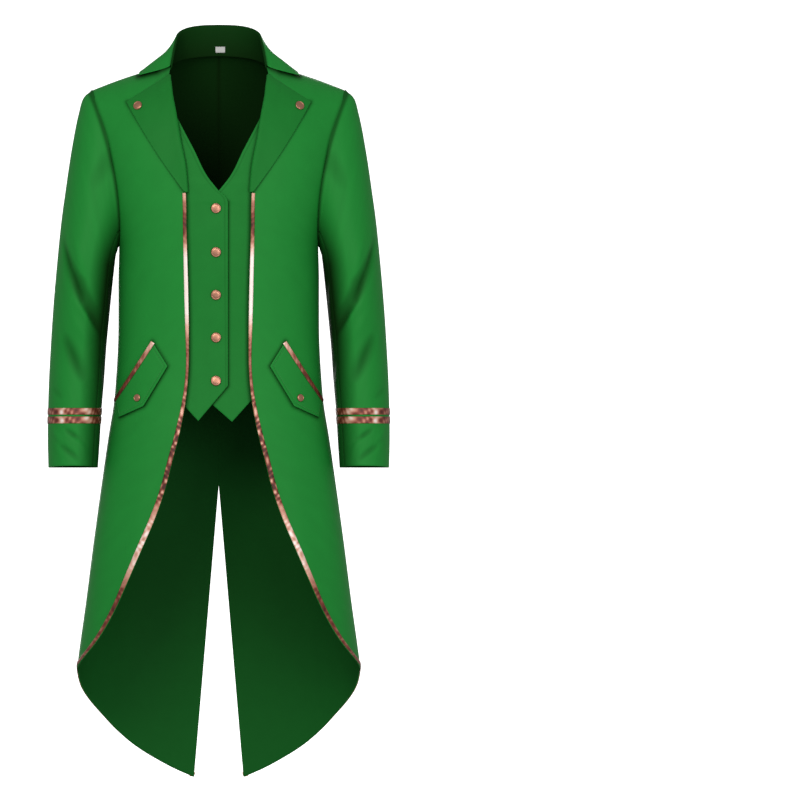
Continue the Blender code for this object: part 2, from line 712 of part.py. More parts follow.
def add_sleeve(side, mirror, front, back):
    """Two-piece sleeve: its first ring stands just off the armhole's wall."""
    front_angles = list(ARMHOLE_ANGLES)
    angles = np.array(front_angles + [360 - angle for angle in front_angles[-2:0:-1]])
    rings = [armhole(angles)]
    rings += [sleeve_cap(angles, share) for share in CAP_SHARES[1:]]
    rings += [sleeve_section(angles, height) for height in SLEEVE_HEIGHTS]
    points = np.array(rings)
    axis = points.mean(axis=1, keepdims=True)
    sleeve_normals = grid_normals(points, axis, closed=True)
    count = len(front_angles)
    body_normals = np.concatenate([front[1][:count, -1], back[1][count - 2:0:-1, -1]])
    miter = unit(body_normals + sleeve_normals[0])
    run = np.roll(points[0], -1, axis=0) - np.roll(points[0], 1, axis=0)
    away = unit(np.cross(run, miter))
    away *= np.sign(np.sum(away * (points[1] - points[0]), axis=-1, keepdims=True))
    turn = np.clip(np.sum(body_normals * sleeve_normals[0], axis=-1, keepdims=True), -1, 1)
    points[0] += away * (WALL * np.sqrt((1 - turn) / 2) + SEAM_GAP)
    fore, hind = list(angles).index(FORE_SEAM_ANGLE), list(angles).index(HIND_SEAM_ANGLE)
    pieces = {
        "sleeve_upper_": list(range(hind, len(angles))) + list(range(fore + 1)),
        "sleeve_under_": list(range(fore, hind + 1)),
    }
    for name, columns in pieces.items():
        piece = inset(inset(points[:, columns], "first_column", SEAM_GAP / 2), "last_column", SEAM_GAP / 2)
        add_wall(name + side, piece, sleeve_normals[:, columns], -HALF_WALL, HALF_WALL, GREEN_CLOTH, mirror)
    for number, (top, bottom) in enumerate(CUFF_BANDS, 1):
        rows = [sleeve_point(angles, np.full(angles.shape, height)) for height in (top, bottom)]
        band = np.array([row[0] for row in rows])
        normals = np.array([row[1] for row in rows])
        base = HALF_WALL + LAYER_GAP
        add_wall(f"cuff_band_{number}_{side}", band, normals, base, base + BRAID_WALL, ROSE_BRAID,
                 mirror, closed=True)
    for number, height in enumerate(CUFF_BUTTON_HEIGHTS, 1):
        centre, direction = sleeve_point(np.float64(CUFF_BUTTON_ANGLE), np.float64(height))
        add_button(f"cuff_button_{number}_{side}", CUFF_BUTTON, centre, direction,
                   HALF_WALL + SEAM_GAP, mirror)


def add_edge_braid(side, mirror):
    """Braid down the front edge, along the hem and up the vent edge of one side."""
    base = HALF_WALL + LAYER_GAP
    armhole_heights = [armhole(angle)[2] for angle in ARMHOLE_ANGLES if 107 < angle < 180]
    upper = np.array([LAPEL_BREAK_HEIGHT] + armhole_heights)
    upper_angle = angle_at(front_edge(upper), upper, False)
    shares = np.sort(np.concatenate([SKIRT_SHARES, (SKIRT_SHARES[11:-1] + SKIRT_SHARES[12:]) / 2]))
    skirt_angle, skirt = front_skirt(np.zeros_like(shares), shares)
    across = np.array([0.5, 1.0])
    hem_angle, hem = front_skirt(across, np.ones_like(across))
    angle = np.concatenate([upper_angle, skirt_angle, hem_angle])
    height = np.concatenate([upper, skirt, hem])
    add_braid("front_braid_" + side, angle, height, BRAID_WIDTH, base, mirror)
    across = np.linspace(1, 0, PANEL_COLUMNS + 1)
    hem_angle, hem = back_skirt(across, np.ones_like(across))
    tip_out = vent_edge(hem[-1]) + 1.5 * HEM_BRAID_WIDTH + LAYER_GAP
    hem_angle[-1] = angle_at(tip_out, hem[-1], True)
    hem[-1] = hem_height(hem_angle[-1])
    hem_angle[0] += math.degrees(SEAM_GAP / section_half_width(hem[0], True))
    add_braid("hem_braid_" + side, hem_angle, hem, HEM_BRAID_WIDTH, base, mirror)
    _, vent = back_skirt(np.zeros_like(SKIRT_SHARES), SKIRT_SHARES)
    vent = np.concatenate([[VENT_BAR[2] - LAYER_GAP], vent[vent < VENT_BAR[2] - LAYER_GAP]])
    vent_angle = angle_at(np.maximum(vent_edge(vent), SEAM_GAP), vent, True)
    add_braid("vent_braid_" + side, vent_angle[::-1], vent[::-1], HEM_BRAID_WIDTH, base, mirror)


def add_lapel(side, mirror):
    """Lapel turned back over the front along its roll line, and the stud on its point."""
    down = np.linspace(0, 1, 11)[:, None] ** 1.5
    across = np.linspace(0, 1, 6)[None, :]
    roll_height = LAPEL_TOP_HEIGHT + down * (LAPEL_BREAK_HEIGHT + 2 - LAPEL_TOP_HEIGHT)
    foot_out = front_edge(LAPEL_BREAK_HEIGHT) + 3
    belly = LAPEL_BELLY * np.sin(np.pi * down)
    outer_out = LAPEL_PEAK[0] + down * (foot_out - LAPEL_PEAK[0]) + belly
    outer_height = LAPEL_PEAK[1] + down * (LAPEL_BREAK_HEIGHT + 4 - LAPEL_PEAK[1]) - belly
    roll_out = front_edge(roll_height)
    out = roll_out + across * (outer_out - roll_out)
    height = roll_height + across * (outer_height - roll_height)
    points, normals = front_sheet(out, height)
    base = HALF_WALL + LAYER_GAP
    add_wall("lapel_" + side, points, normals, base, base + WALL, GREEN_CLOTH, mirror)
    centre, direction = front_sheet(*LAPEL_STUD)
    add_button("lapel_button_" + side, LAPEL_BUTTON, centre, direction, base + WALL + SEAM_GAP, mirror)


def waistcoat_sink(out, height, side):
    """How far the waistcoat's outer face lies inside the coat's surface, deepest at the centre."""
    inward = np.clip(1 - (out / WAISTCOAT_SPAN) ** 2, 0, 1)
    upward = np.clip((height - WAISTCOAT_YOKE_START) / -WAISTCOAT_YOKE_START, 0, 1)
    return HALF_WALL + LAYER_GAP + side.sink * inward + WAISTCOAT_YOKE_SINK * np.sqrt(upward)


def add_waistcoat(name, side):
    """One front of the mock waistcoat, from its hidden top to its point."""
    tip_share = (side.tip_out + side.lap) / (WAISTCOAT_SPAN + side.lap)
    across = np.concatenate([np.linspace(0, tip_share, 4), np.linspace(tip_share, 1, 4)[1:]])
    foot_out = -side.lap + across * (WAISTCOAT_SPAN + side.lap)
    foot_height = np.where(
        foot_out < side.tip_out,
        side.lap_height + (foot_out + side.lap) / (side.tip_out + side.lap) * (side.tip_height - side.lap_height),
        side.tip_height + WAISTCOAT_POINT_SLOPE * (foot_out - side.tip_out),
    )
    out_rows, height_rows = [], []
    for row in reversed(WAISTCOAT_V):
        out_rows.append(row.v_edge + across * (row.side_edge - row.v_edge))
        height_rows.append(np.full_like(across, row.height))
    for share, height in zip(reversed(WAISTCOAT_CORNER_LAPS), reversed(WAISTCOAT_CORNER_HEIGHTS)):
        edge = -side.lap * share
        out_rows.append(edge + across * (WAISTCOAT_SPAN - edge))
        height_rows.append(np.full_like(across, height))
    top = WAISTCOAT_CORNER_HEIGHTS[0]
    for share in np.linspace(0, 1, WAISTCOAT_ROWS + 1)[1:]:
        out_rows.append(foot_out)
        height_rows.append(top + share * (foot_height - top))
    out, height = np.array(out_rows), np.array(height_rows)
    points, normals = front_sheet(out, height)
    points = points - normals * waistcoat_sink(out, height, side)[..., None]
    add_wall(name, points, normals, -WALL, 0, DARK_GREEN_CLOTH, mirror=side.sign < 0)


def add_flap(side, mirror):
    """Pointed pocket flap wrapped round the side of the front, its braid and its button."""
    corners = {}
    for name, (out, height) in {
        "top_back": FLAP_TOP_BACK, "top_front": FLAP_TOP_FRONT, "low_back": FLAP_LOW_BACK,
        "point": FLAP_POINT, "low_front": FLAP_LOW_FRONT,
    }.items():
        corners[name] = np.array([angle_at(out, height, False), height])
    point_share = 0.36
    across = np.array([0, 0.12, 0.24, point_share, 0.52, 0.68, 0.84, 1.0])
    top = corners["top_back"] + across[:, None] * (corners["top_front"] - corners["top_back"])
    to_point = corners["low_back"] + across[:, None] / point_share * (corners["point"] - corners["low_back"])
    from_point = corners["point"] + (across[:, None] - point_share) / (1 - point_share) * (
        corners["low_front"] - corners["point"])
    low = np.where(across[:, None] <= point_share, to_point, from_point)
    down = np.linspace(0, 1, 7)[:, None, None]
    grid = top + down * (low - top)
    points, normals = body_point(grid[..., 0], grid[..., 1]), body_normal(grid[..., 0], grid[..., 1])
    base = HALF_WALL + LAYER_GAP
    add_wall("pocket_flap_" + side, points, normals, base, base + FLAP_WALL, GREEN_CLOTH, mirror)
    add_braid("flap_braid_" + side, top[:, 0], top[:, 1], FLAP_BRAID_WIDTH,
              base + FLAP_WALL + LAYER_GAP, mirror)
    out, height = FLAP_BUTTON
    angle = angle_at(out, height, False)
    add_button("flap_button_" + side, FLAP_BUTTON_SIZE, body_point(angle, height), body_normal(angle, height),
               base + FLAP_WALL + SEAM_GAP, mirror)


def back_sheet(out, height):
    """Point and outward direction of the back surface, placed as seen from behind."""
    angle = angle_at(np.abs(out), height, True)
    side = np.stack([np.where(out < 0, -1, 1), np.ones_like(out), np.ones_like(out)], axis=-1)
    return body_point(angle, height) * side, body_normal(np.minimum(angle, 179.5), height) * side


def add_back_details():
    """Back belt with its two buttons, and the bar of braid at the top of the vent."""
    middle = (BELT_TOP + BELT_BOTTOM) / 2
    half = (BELT_TOP - BELT_BOTTOM) / 2
    level = half * np.array([1, 0.86, 0.55, -0.55, -0.86, -1])
    pull_in = BELT_CORNER * np.array([1, 0.45, 0, 0, 0.45, 1])
    across = np.linspace(-1, 1, 11)
    out = across[None, :] * (BELT_HALF_LENGTH - pull_in)[:, None]
    height = np.repeat((middle + level)[:, None], len(across), axis=1)
    base = HALF_WALL + LAYER_GAP
    add_wall("back_belt", *back_sheet(out, height), base, base + WALL, GREEN_CLOTH)
    for side, mirror in (("L", False), ("R", True)):
        centre, direction = back_sheet(np.float64(BELT_BUTTON[0]), np.float64(BELT_BUTTON[1]))
        add_button("belt_button_" + side, BELT_BUTTON_SIZE, centre, direction,
                   base + WALL + SEAM_GAP, mirror)
    half_length, top, bottom = VENT_BAR
    out, height = np.meshgrid(np.linspace(-half_length, half_length, 5), [top, bottom])
    add_wall("vent_bar", *back_sheet(out, height), base, base + BRAID_WALL, ROSE_BRAID)


def collar_grid():
    """Collar's middle surface: stations round the neck, from the neck seam up to the fold and out."""
    stations = np.linspace(0, len(COLLAR_STATIONS) - 1, 2 * len(COLLAR_STATIONS) - 1)
    order = np.arange(len(COLLAR_STATIONS))

    def along(name):
        table = np.array([getattr(row, name) for row in COLLAR_STATIONS], float).reshape(len(order), -1)
        return np.stack([through(order, table[:, k], stations) for k in range(table.shape[1])], axis=-1)

    neck_angle = along("neck_angle")[:, 0]
    on_front = front_yoke(np.zeros_like(neck_angle), 1 - np.clip(neck_angle - 90, 0, 90) / 90)
    neck = np.where((neck_angle <= 90)[:, None], neck_seam(neck_angle), on_front)
    neck = neck + (0, 0, COLLAR_LIFT)
    fold, leaf_middle, leaf_edge = along("fold"), along("leaf_middle"), along("leaf_edge")
    outward = (leaf_middle - neck) * (1, 1, 0)
    roll = unit(outward) * COLLAR_ROLL
    drop = np.array([0, 0, 1.3 * COLLAR_ROLL])
    stand_top, leaf_top = fold - roll - drop, fold + roll - drop
    left = np.array([neck, (neck + stand_top) / 2, stand_top, fold, leaf_top, leaf_middle, leaf_edge])
    right = left[:, :0:-1] * (-1, 1, 1)
    return np.concatenate([right, left], axis=1)


def add_collar():
    """Turn-down collar: stand and leaf in one folded wall, and the bare label inside the neck."""
    points = collar_grid()
    normals = grid_normals(points, np.zeros(3))
    add_wall("collar", points, normals, -HALF_WALL, HALF_WALL, GREEN_CLOTH)
    width, height = LABEL_SIZE
    middle_out, middle_height = LABEL_CENTRE
    out = middle_out + np.linspace(-width / 2, width / 2, 3)
    rows = []
    for level in (middle_height + height / 2, middle_height - height / 2):
        share = (level - points[0, :, 2]) / (points[1, :, 2] - points[0, :, 2])
        deep = points[0, :, 1] + share * (points[1, :, 1] - points[0, :, 1])
        rows.append(np.stack([out, np.interp(out, points[0, :, 0], deep), np.full_like(out, level)], axis=-1))
    label = np.array(rows)
    inward = np.broadcast_to(np.array([0.0, -1.0, 0.0]), label.shape)
    base = HALF_WALL + LAYER_GAP
    add_wall("neck_label", label, inward, base, base + LABEL_WALL, WHITE_LABEL)


def add_waistcoat_buttons():
    """Five buttons down the waistcoat's right front."""
    for number, height in enumerate(WAISTCOAT_BUTTON_HEIGHTS, 1):
        centre, direction = front_sheet(np.float64(WAISTCOAT_BUTTON_OUT), np.float64(height))
        sink = waistcoat_sink(WAISTCOAT_BUTTON_OUT, height, WAISTCOAT_RIGHT)
        add_button(f"waistcoat_button_{number}", WAISTCOAT_BUTTON, centre, direction, LAYER_GAP - sink)


def main():
    for existing in list(bpy.data.objects):
        bpy.data.objects.remove(existing)
    collection = bpy.data.collections.new("frock_coat")
    bpy.context.scene.collection.children.link(collection)
    for side, mirror in (("L", False), ("R", True)):
        front, back = front_panel(), back_panel()
        add_body(side, mirror, front, back)
        add_sleeve(side, mirror, front, back)
        add_edge_braid(side, mirror)
        add_lapel(side, mirror)
        add_flap(side, mirror)
    add_waistcoat("waistcoat_front_R", WAISTCOAT_RIGHT)
    add_waistcoat("waistcoat_front_L", WAISTCOAT_LEFT)
    add_waistcoat_buttons()
    add_back_details()
    add_collar()


main()
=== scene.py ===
"""The dressed frock coat: cloth shells, braid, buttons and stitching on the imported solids.

Sizes are in millimetres until a mesh is made. The coat faces -Y, its left side is +X and +Z is up.
Heights are measured from the shoulder at the neck. Angles round the body run from 0 at the centre
front over 90 at the side to 180 at the centre back, and angles round a sleeve from 0 at its outer
side over 90 at its front.
"""
import logging
import math
from dataclasses import dataclass, field
from enum import Enum
from typing import NamedTuple, Optional, Sequence

import bpy
import numpy as np
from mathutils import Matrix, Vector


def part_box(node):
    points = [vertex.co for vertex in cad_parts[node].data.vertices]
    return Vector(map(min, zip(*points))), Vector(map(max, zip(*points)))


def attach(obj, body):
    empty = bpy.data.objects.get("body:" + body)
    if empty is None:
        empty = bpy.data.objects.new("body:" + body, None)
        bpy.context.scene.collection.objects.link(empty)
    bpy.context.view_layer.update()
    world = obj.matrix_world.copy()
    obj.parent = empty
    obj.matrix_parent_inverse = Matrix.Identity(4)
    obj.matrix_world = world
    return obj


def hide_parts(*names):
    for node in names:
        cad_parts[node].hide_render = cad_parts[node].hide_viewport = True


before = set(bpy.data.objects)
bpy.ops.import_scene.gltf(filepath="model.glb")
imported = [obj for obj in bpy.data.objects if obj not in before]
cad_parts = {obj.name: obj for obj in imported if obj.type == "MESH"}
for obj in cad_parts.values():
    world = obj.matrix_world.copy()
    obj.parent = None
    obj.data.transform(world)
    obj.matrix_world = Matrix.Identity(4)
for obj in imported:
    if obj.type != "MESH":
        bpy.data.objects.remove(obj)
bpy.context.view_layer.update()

MILLIMETRE = 0.001
LOG = logging.getLogger("frock_coat")
Array = np.ndarray
Pair = tuple[float, float]
Triple = tuple[float, float, float]
Socket = bpy.types.NodeSocket
Material = bpy.types.Material


# Sewing sizes
WALL = 1.6
HALF_WALL = WALL / 2
BRAID_WALL = 1.0
BAND_WALL = 0.7
LAYER_GAP = 0.9
FLAP_WALL = 2.0
LABEL_WALL = 0.5
RIM_ROUNDING = 0.7
# Room between a strip of braid and the cloth beneath it, and how far the strip's middle bows up
BRAID_GAP = 0.2
BRAID_BOW = 0.4
# Smallest step that keeps a direction from having no length
TINY = 1e-9
# Shares of a fold's length between which it is drawn, so that its ends fade but don't vanish
FOLD_ENDS = (0.06, 0.94)
# A stitch: rings along it, how thick each is, sides of a ring, how far its ends dip, and its end faces
ROD_LEVELS = np.array([-1, -0.72, 0, 0.72, 1])
ROD_GIRTHS = np.array([0.2, 0.85, 1, 0.85, 0.2])
ROD_SIDES = 6
ROD_DIP = 0.9
ROD_ENDS = [[5, 4, 3, 2], [5, 2, 1, 0], [24, 25, 26, 27], [24, 27, 28, 29]]
# A turned body: rings for each knot of its profile, and the least radius at its axis
LATHE_STEPS = 6
LATHE_LEAST = 0.01


class Side(Enum):
    """One side of the coat, by the sign of its X."""

    LEFT = 1
    RIGHT = -1

    @property
    def letter(self) -> str:
        """The ending of this side's node names."""
        return "L" if self is Side.LEFT else "R"


class Held(Enum):
    """How a cut piece of cloth is held."""

    HUNG = "hung"
    LAID = "laid"
    FOLDED = "folded"


class Edge(Enum):
    """An edge of a grid of points: the axis that leaves it, and whether it is the last line there."""

    FIRST_ROW = (0, False)
    LAST_ROW = (0, True)
    FIRST_COLUMN = (1, False)
    LAST_COLUMN = (1, True)


class BodySection(NamedTuple):
    """Level section of the body: half its width, and its depth to the front and to the back."""

    height: float
    half_width: float
    front_depth: float
    back_depth: float


class Station(NamedTuple):
    """A value at a station of a curve."""

    at: float
    value: float


class SleeveSection(NamedTuple):
    """Level section of a sleeve, by its inner and outer side, half depth and middle."""

    height: float
    inner: float
    outer: float
    half_depth: float
    middle: float


class CrownPoint(NamedTuple):
    """Point of the sleeve's outer line, from the shoulder tip to the end of the cap."""

    share: float
    out: float
    height: float


class Fold(NamedTuple):
    """A soft trough between two places on a surface; a negative depth makes a ridge."""

    start_angle: float
    start_height: float
    end_angle: float
    end_height: float
    depth: float
    half_width: float


class CollarStation(NamedTuple):
    """Collar profile at an angle round the neck: where it folds, and the leaf's middle and edge."""

    neck_angle: float
    fold: Triple
    leaf_middle: Triple
    leaf_edge: Triple


class WaistcoatCut(NamedTuple):
    """One waistcoat front: its lap past the centre, its point, and how deep it lies."""

    side: Side
    lap: float
    lap_height: float
    tip_out: float
    tip_height: float
    sink: float


class Dip(NamedTuple):
    """A groove or a shadow along a line: its depth or darkness there, and its half width."""

    amount: float
    half_width: float


class Stitch(NamedTuple):
    """Length of a stitch, the cloth between two of them, and the thread's radius."""

    length: float
    gap: float
    radius: float


class ButtonSize(NamedTuple):
    """Radius and height of a button's cap."""

    radius: float
    height: float


STITCH = Stitch(2.6, 1.0, 0.28)
COLLAR_STITCH = Stitch(2.6, 1.0, 0.26)


def table(kind: type, *rows: tuple) -> tuple:
    """Rows of one kind, each made from its values in the order of its fields."""
    return tuple(kind(*row) for row in rows)


# Height, half width, and depths to the front and the back, from the tails up
BODY_SECTIONS = table(
    BodySection,
    (-1175, 247, 160, 164), (-1070, 239, 155, 159), (-978, 230, 148, 154),
    (-872, 215.5, 139, 147), (-774, 203, 130, 139), (-676, 189.5, 121, 127),
    (-602, 178.8, 114, 116), (-553, 170.8, 108, 107), (-504, 166.5, 103, 99),
    (-447, 163.5, 101, 95), (-390, 163, 104, 98), (-340, 163, 109, 105),
    (-294, 162, 113, 111), (-230, 165, 116, 116), (-168, 172, 117, 118),
)
# Height of the front edge and its distance from the centre, from the hem corner up
FRONT_EDGE = table(
    Station,
    (-978, 230), (-937, 198), (-888, 170), (-839, 148), (-790, 127),
    (-741, 106), (-692, 88.5), (-643, 75.5), (-594, 63), (-545, 54),
    (-505, 50), (-434, 49), (-366, 50), (-276, 52.5), (-207, 54),
    (-162, 58), (-121, 66), (-75, 74), (-39, 80.5), (-10, 81),
    (2, 77.5),
)
# Angle round the body and height of the hem, from the front edge to the centre back
HEM = table(
    Station,
    (90, -978), (97, -988), (109, -1012), (122, -1036), (133, -1058),
    (143, -1082), (154, -1108), (165, -1131), (174, -1149), (180, -1160),
)

# Long soft waves of the body's cloth and the creases that show on it, by angle round the body
BODY_FOLDS = table(
    Fold,
    (76, -70, 70, -150, 1.6, 15), (66, -300, 58, -420, 0.8, 22), (40, -620, 47, -900, 2.6, 22),
    (68, -600, 78, -960, -2.2, 24), (58, -640, 64, -960, 1.6, 18), (106, -86, 116, -112, 2.2, 9),
    (150, -560, 158, -1080, 2.4, 26), (128, -600, 133, -1040, -2.4, 30), (112, -560, 116, -980, 1.8, 24),
    (152, -470, 118, -530, 0.9, 18),
)

# Folds of a sleeve: the two main troughs of the front and of the back, then smaller ones and ridges
SLEEVE_FOLDS = table(
    Fold,
    (32, -286, 142, -440, 4.0, 15), (50, -430, 112, -520, 2.2, 15),
    (-40, -290, -122, -430, 3.8, 17), (-60, -430, -110, -500, 2.5, 15),
)
SLEEVE_CREASES = table(
    Fold,
    (30, -284, 62, -342, 2.6, 5), (54, -326, 98, -396, 3.6, 5.5), (88, -384, 146, -440, 3.4, 6),
    (70, -378, 112, -420, -1.4, 8), (56, -272, 92, -352, -2.2, 12), (96, -348, 132, -398, -1.6, 10),
    (50, -430, 112, -524, 1.4, 7), (72, -408, 118, -458, -1.8, 9), (24, -520, 70, -548, 1.1, 8),
    (86, -110, 76, -215, 1.5, 13), (150, -330, 172, -395, 1.8, 10), (146, -470, 178, -520, 1.6, 10),
    (36, -594, 66, -618, -1.6, 7), (64, -590, 118, -616, 2.8, 5), (46, -612, 112, -646, 2.2, 6),
    (88, -600, 128, -640, -1.6, 8), (-44, -300, -74, -352, 3.0, 8), (-74, -352, -122, -430, 2.6, 8),
    (-56, -280, -84, -338, -2.0, 11), (-62, -430, -108, -500, 2.0, 8), (-98, -110, -94, -240, 3.2, 11),
    (-40, -606, -66, -622, 1.1, 7),
)
# Share of the cap, then distance from the centre and height of its outer line
SLEEVE_CROWN = table(
    CrownPoint,
    (0.0, 211, -42), (0.08, 220, -52), (0.22, 228, -78), (0.45, 239.5, -137),
    (0.7, 250.5, -211), (0.87, 257.5, -262), (1.0, 262, -309),
)
# Height, inner side, outer side, half depth and middle, from the cuff up
SLEEVE_SECTIONS = table(
    SleeveSection,
    (-655, 198, 277.5, 49, -20), (-610, 195, 278.5, 51, -12), (-560, 192, 278, 54, -4),
    (-513, 188, 276.5, 57, 3), (-456, 184, 273.5, 61, 7), (-399, 178.5, 269.8, 65, 4),
    (-350, 173.5, 265.8, 68, 1), (-309, 169, 262, 70, 0),
)
# Angle round the neck, then X, Y and Z of the fold, the leaf's middle and its edge
COLLAR_STATIONS = table(
    CollarStation,
    (0, (0, 74, 67), (0, 84, 44), (0, 90, 20)),
    (22, (29, 70, 66), (32, 80, 44), (36, 86, 20)),
    (43, (52, 55, 62), (60, 65, 42), (66, 71, 20)),
    (62, (66, 33, 54), (74.5, 40, 34), (88, 46, 12)),
    (85, (71.5, 9, 40.5), (90, 13, 20), (111, 17, 0)),
    (97, (75.5, -10, 24), (102, -10, 9), (127, -11, -8)),
    (105, (79.5, -28, 3), (96, -32, -5.2), (131, -31, -14)),
)


def unit(vectors: Array) -> Array:
    """Vectors of length one."""
    return vectors / np.linalg.norm(vectors, axis=-1, keepdims=True)


def bell(distance: Array, half_width: float) -> Array:
    """Bell-shaped falloff: one on a line, and about a third at the half width."""
    return np.exp(-((distance / half_width) ** 2))


@dataclass(frozen=True)
class Curve:
    """Smooth curve through values at rising stations: cubic pieces whose slopes are the chords' own.

    Args:
        stations: where the values stand.
        values: one value, or one point, for each station.
    """

    stations: Array
    values: Array

    @classmethod
    def of(cls, rows: Sequence[NamedTuple], at: str, value: str) -> "Curve":
        """The curve through two named columns of a table."""
        pairs = sorted((getattr(row, at), getattr(row, value)) for row in rows)
        return cls(np.array([pair[0] for pair in pairs], float), np.array([pair[1] for pair in pairs], float))

    def __call__(self, at: Array) -> Array:
        """The curve's value at each place asked for."""
        at = np.asarray(at, float)
        slopes = np.gradient(self.values, self.stations, axis=0)
        left = np.clip(np.searchsorted(self.stations, at) - 1, 0, len(self.stations) - 2)
        span = self.stations[left + 1] - self.stations[left]
        share = (at - self.stations[left]) / span
        if self.values.ndim > 1:
            extra = (1,) * (self.values.ndim - 1)
            span, share = span.reshape(span.shape + extra), share.reshape(share.shape + extra)
        first = (2 * share**3 - 3 * share**2 + 1) * self.values[left]
        second = (3 * share**2 - 2 * share**3) * self.values[left + 1]
        leaving = (share**3 - 2 * share**2 + share) * span * slopes[left]
        arriving = (share**3 - share**2) * span * slopes[left + 1]
        return first + second + leaving + arriving


def folded(folds: Sequence[Fold], angle: Array, height: Array, reach: float) -> Array:
    """Depth of folds: each is a bell-shaped trough round a line, which fades towards its two ends.

    Args:
        folds: the folds of one surface.
        angle: angle round the surface, in degrees.
        height: height on the surface.
        reach: the surface's mean radius, which turns an angle into a distance.

    Returns:
        How far the folds sink the surface.
    """
    angle = (np.asarray(angle, float) + 180) % 360 - 180
    arc = math.radians(1) * reach
    total = np.zeros(np.broadcast(angle, height).shape)
    for fold in folds:
        start = np.array([fold.start_angle * arc, fold.start_height])
        run = np.array([fold.end_angle * arc, fold.end_height]) - start
        place = np.stack(np.broadcast_arrays(angle * arc, height), axis=-1) - start
        along = np.clip(place @ run / (run @ run), 0, 1)
        away = np.linalg.norm(place - along[..., None] * run, axis=-1)
        fade = np.sin(np.pi * np.clip(along, *FOLD_ENDS))
        total = total + fold.depth * fade * bell(away, fold.half_width)
    return total


@dataclass(frozen=True)
class Armhole:
    """Armhole seam: an egg-shaped loop that leans outwards at the shoulder."""

    tip: Pair = (211.0, -42.0)
    underarm: Pair = (162.0, -294.0)
    depth: float = 58.0
    hollow: float = 14.0

    @property
    def chest_height(self) -> float:
        """Height of the middle of the armhole."""
        return (self.tip[1] + self.underarm[1]) / 2

    def point(self, angle: Array) -> Array:
        """Point of the left seam: 0 is the shoulder tip, 90 the front, 180 the underarm."""
        turn = np.radians(np.asarray(angle, float))
        cosine, sine = np.cos(turn), np.sin(turn)
        out = (self.tip[0] + self.underarm[0]) / 2 + (self.tip[0] - self.underarm[0]) / 2 * cosine
        height = self.chest_height + (self.tip[1] - self.underarm[1]) / 2 * cosine
        return np.stack([out - self.hollow * sine**2, -self.depth * sine, height], axis=-1)


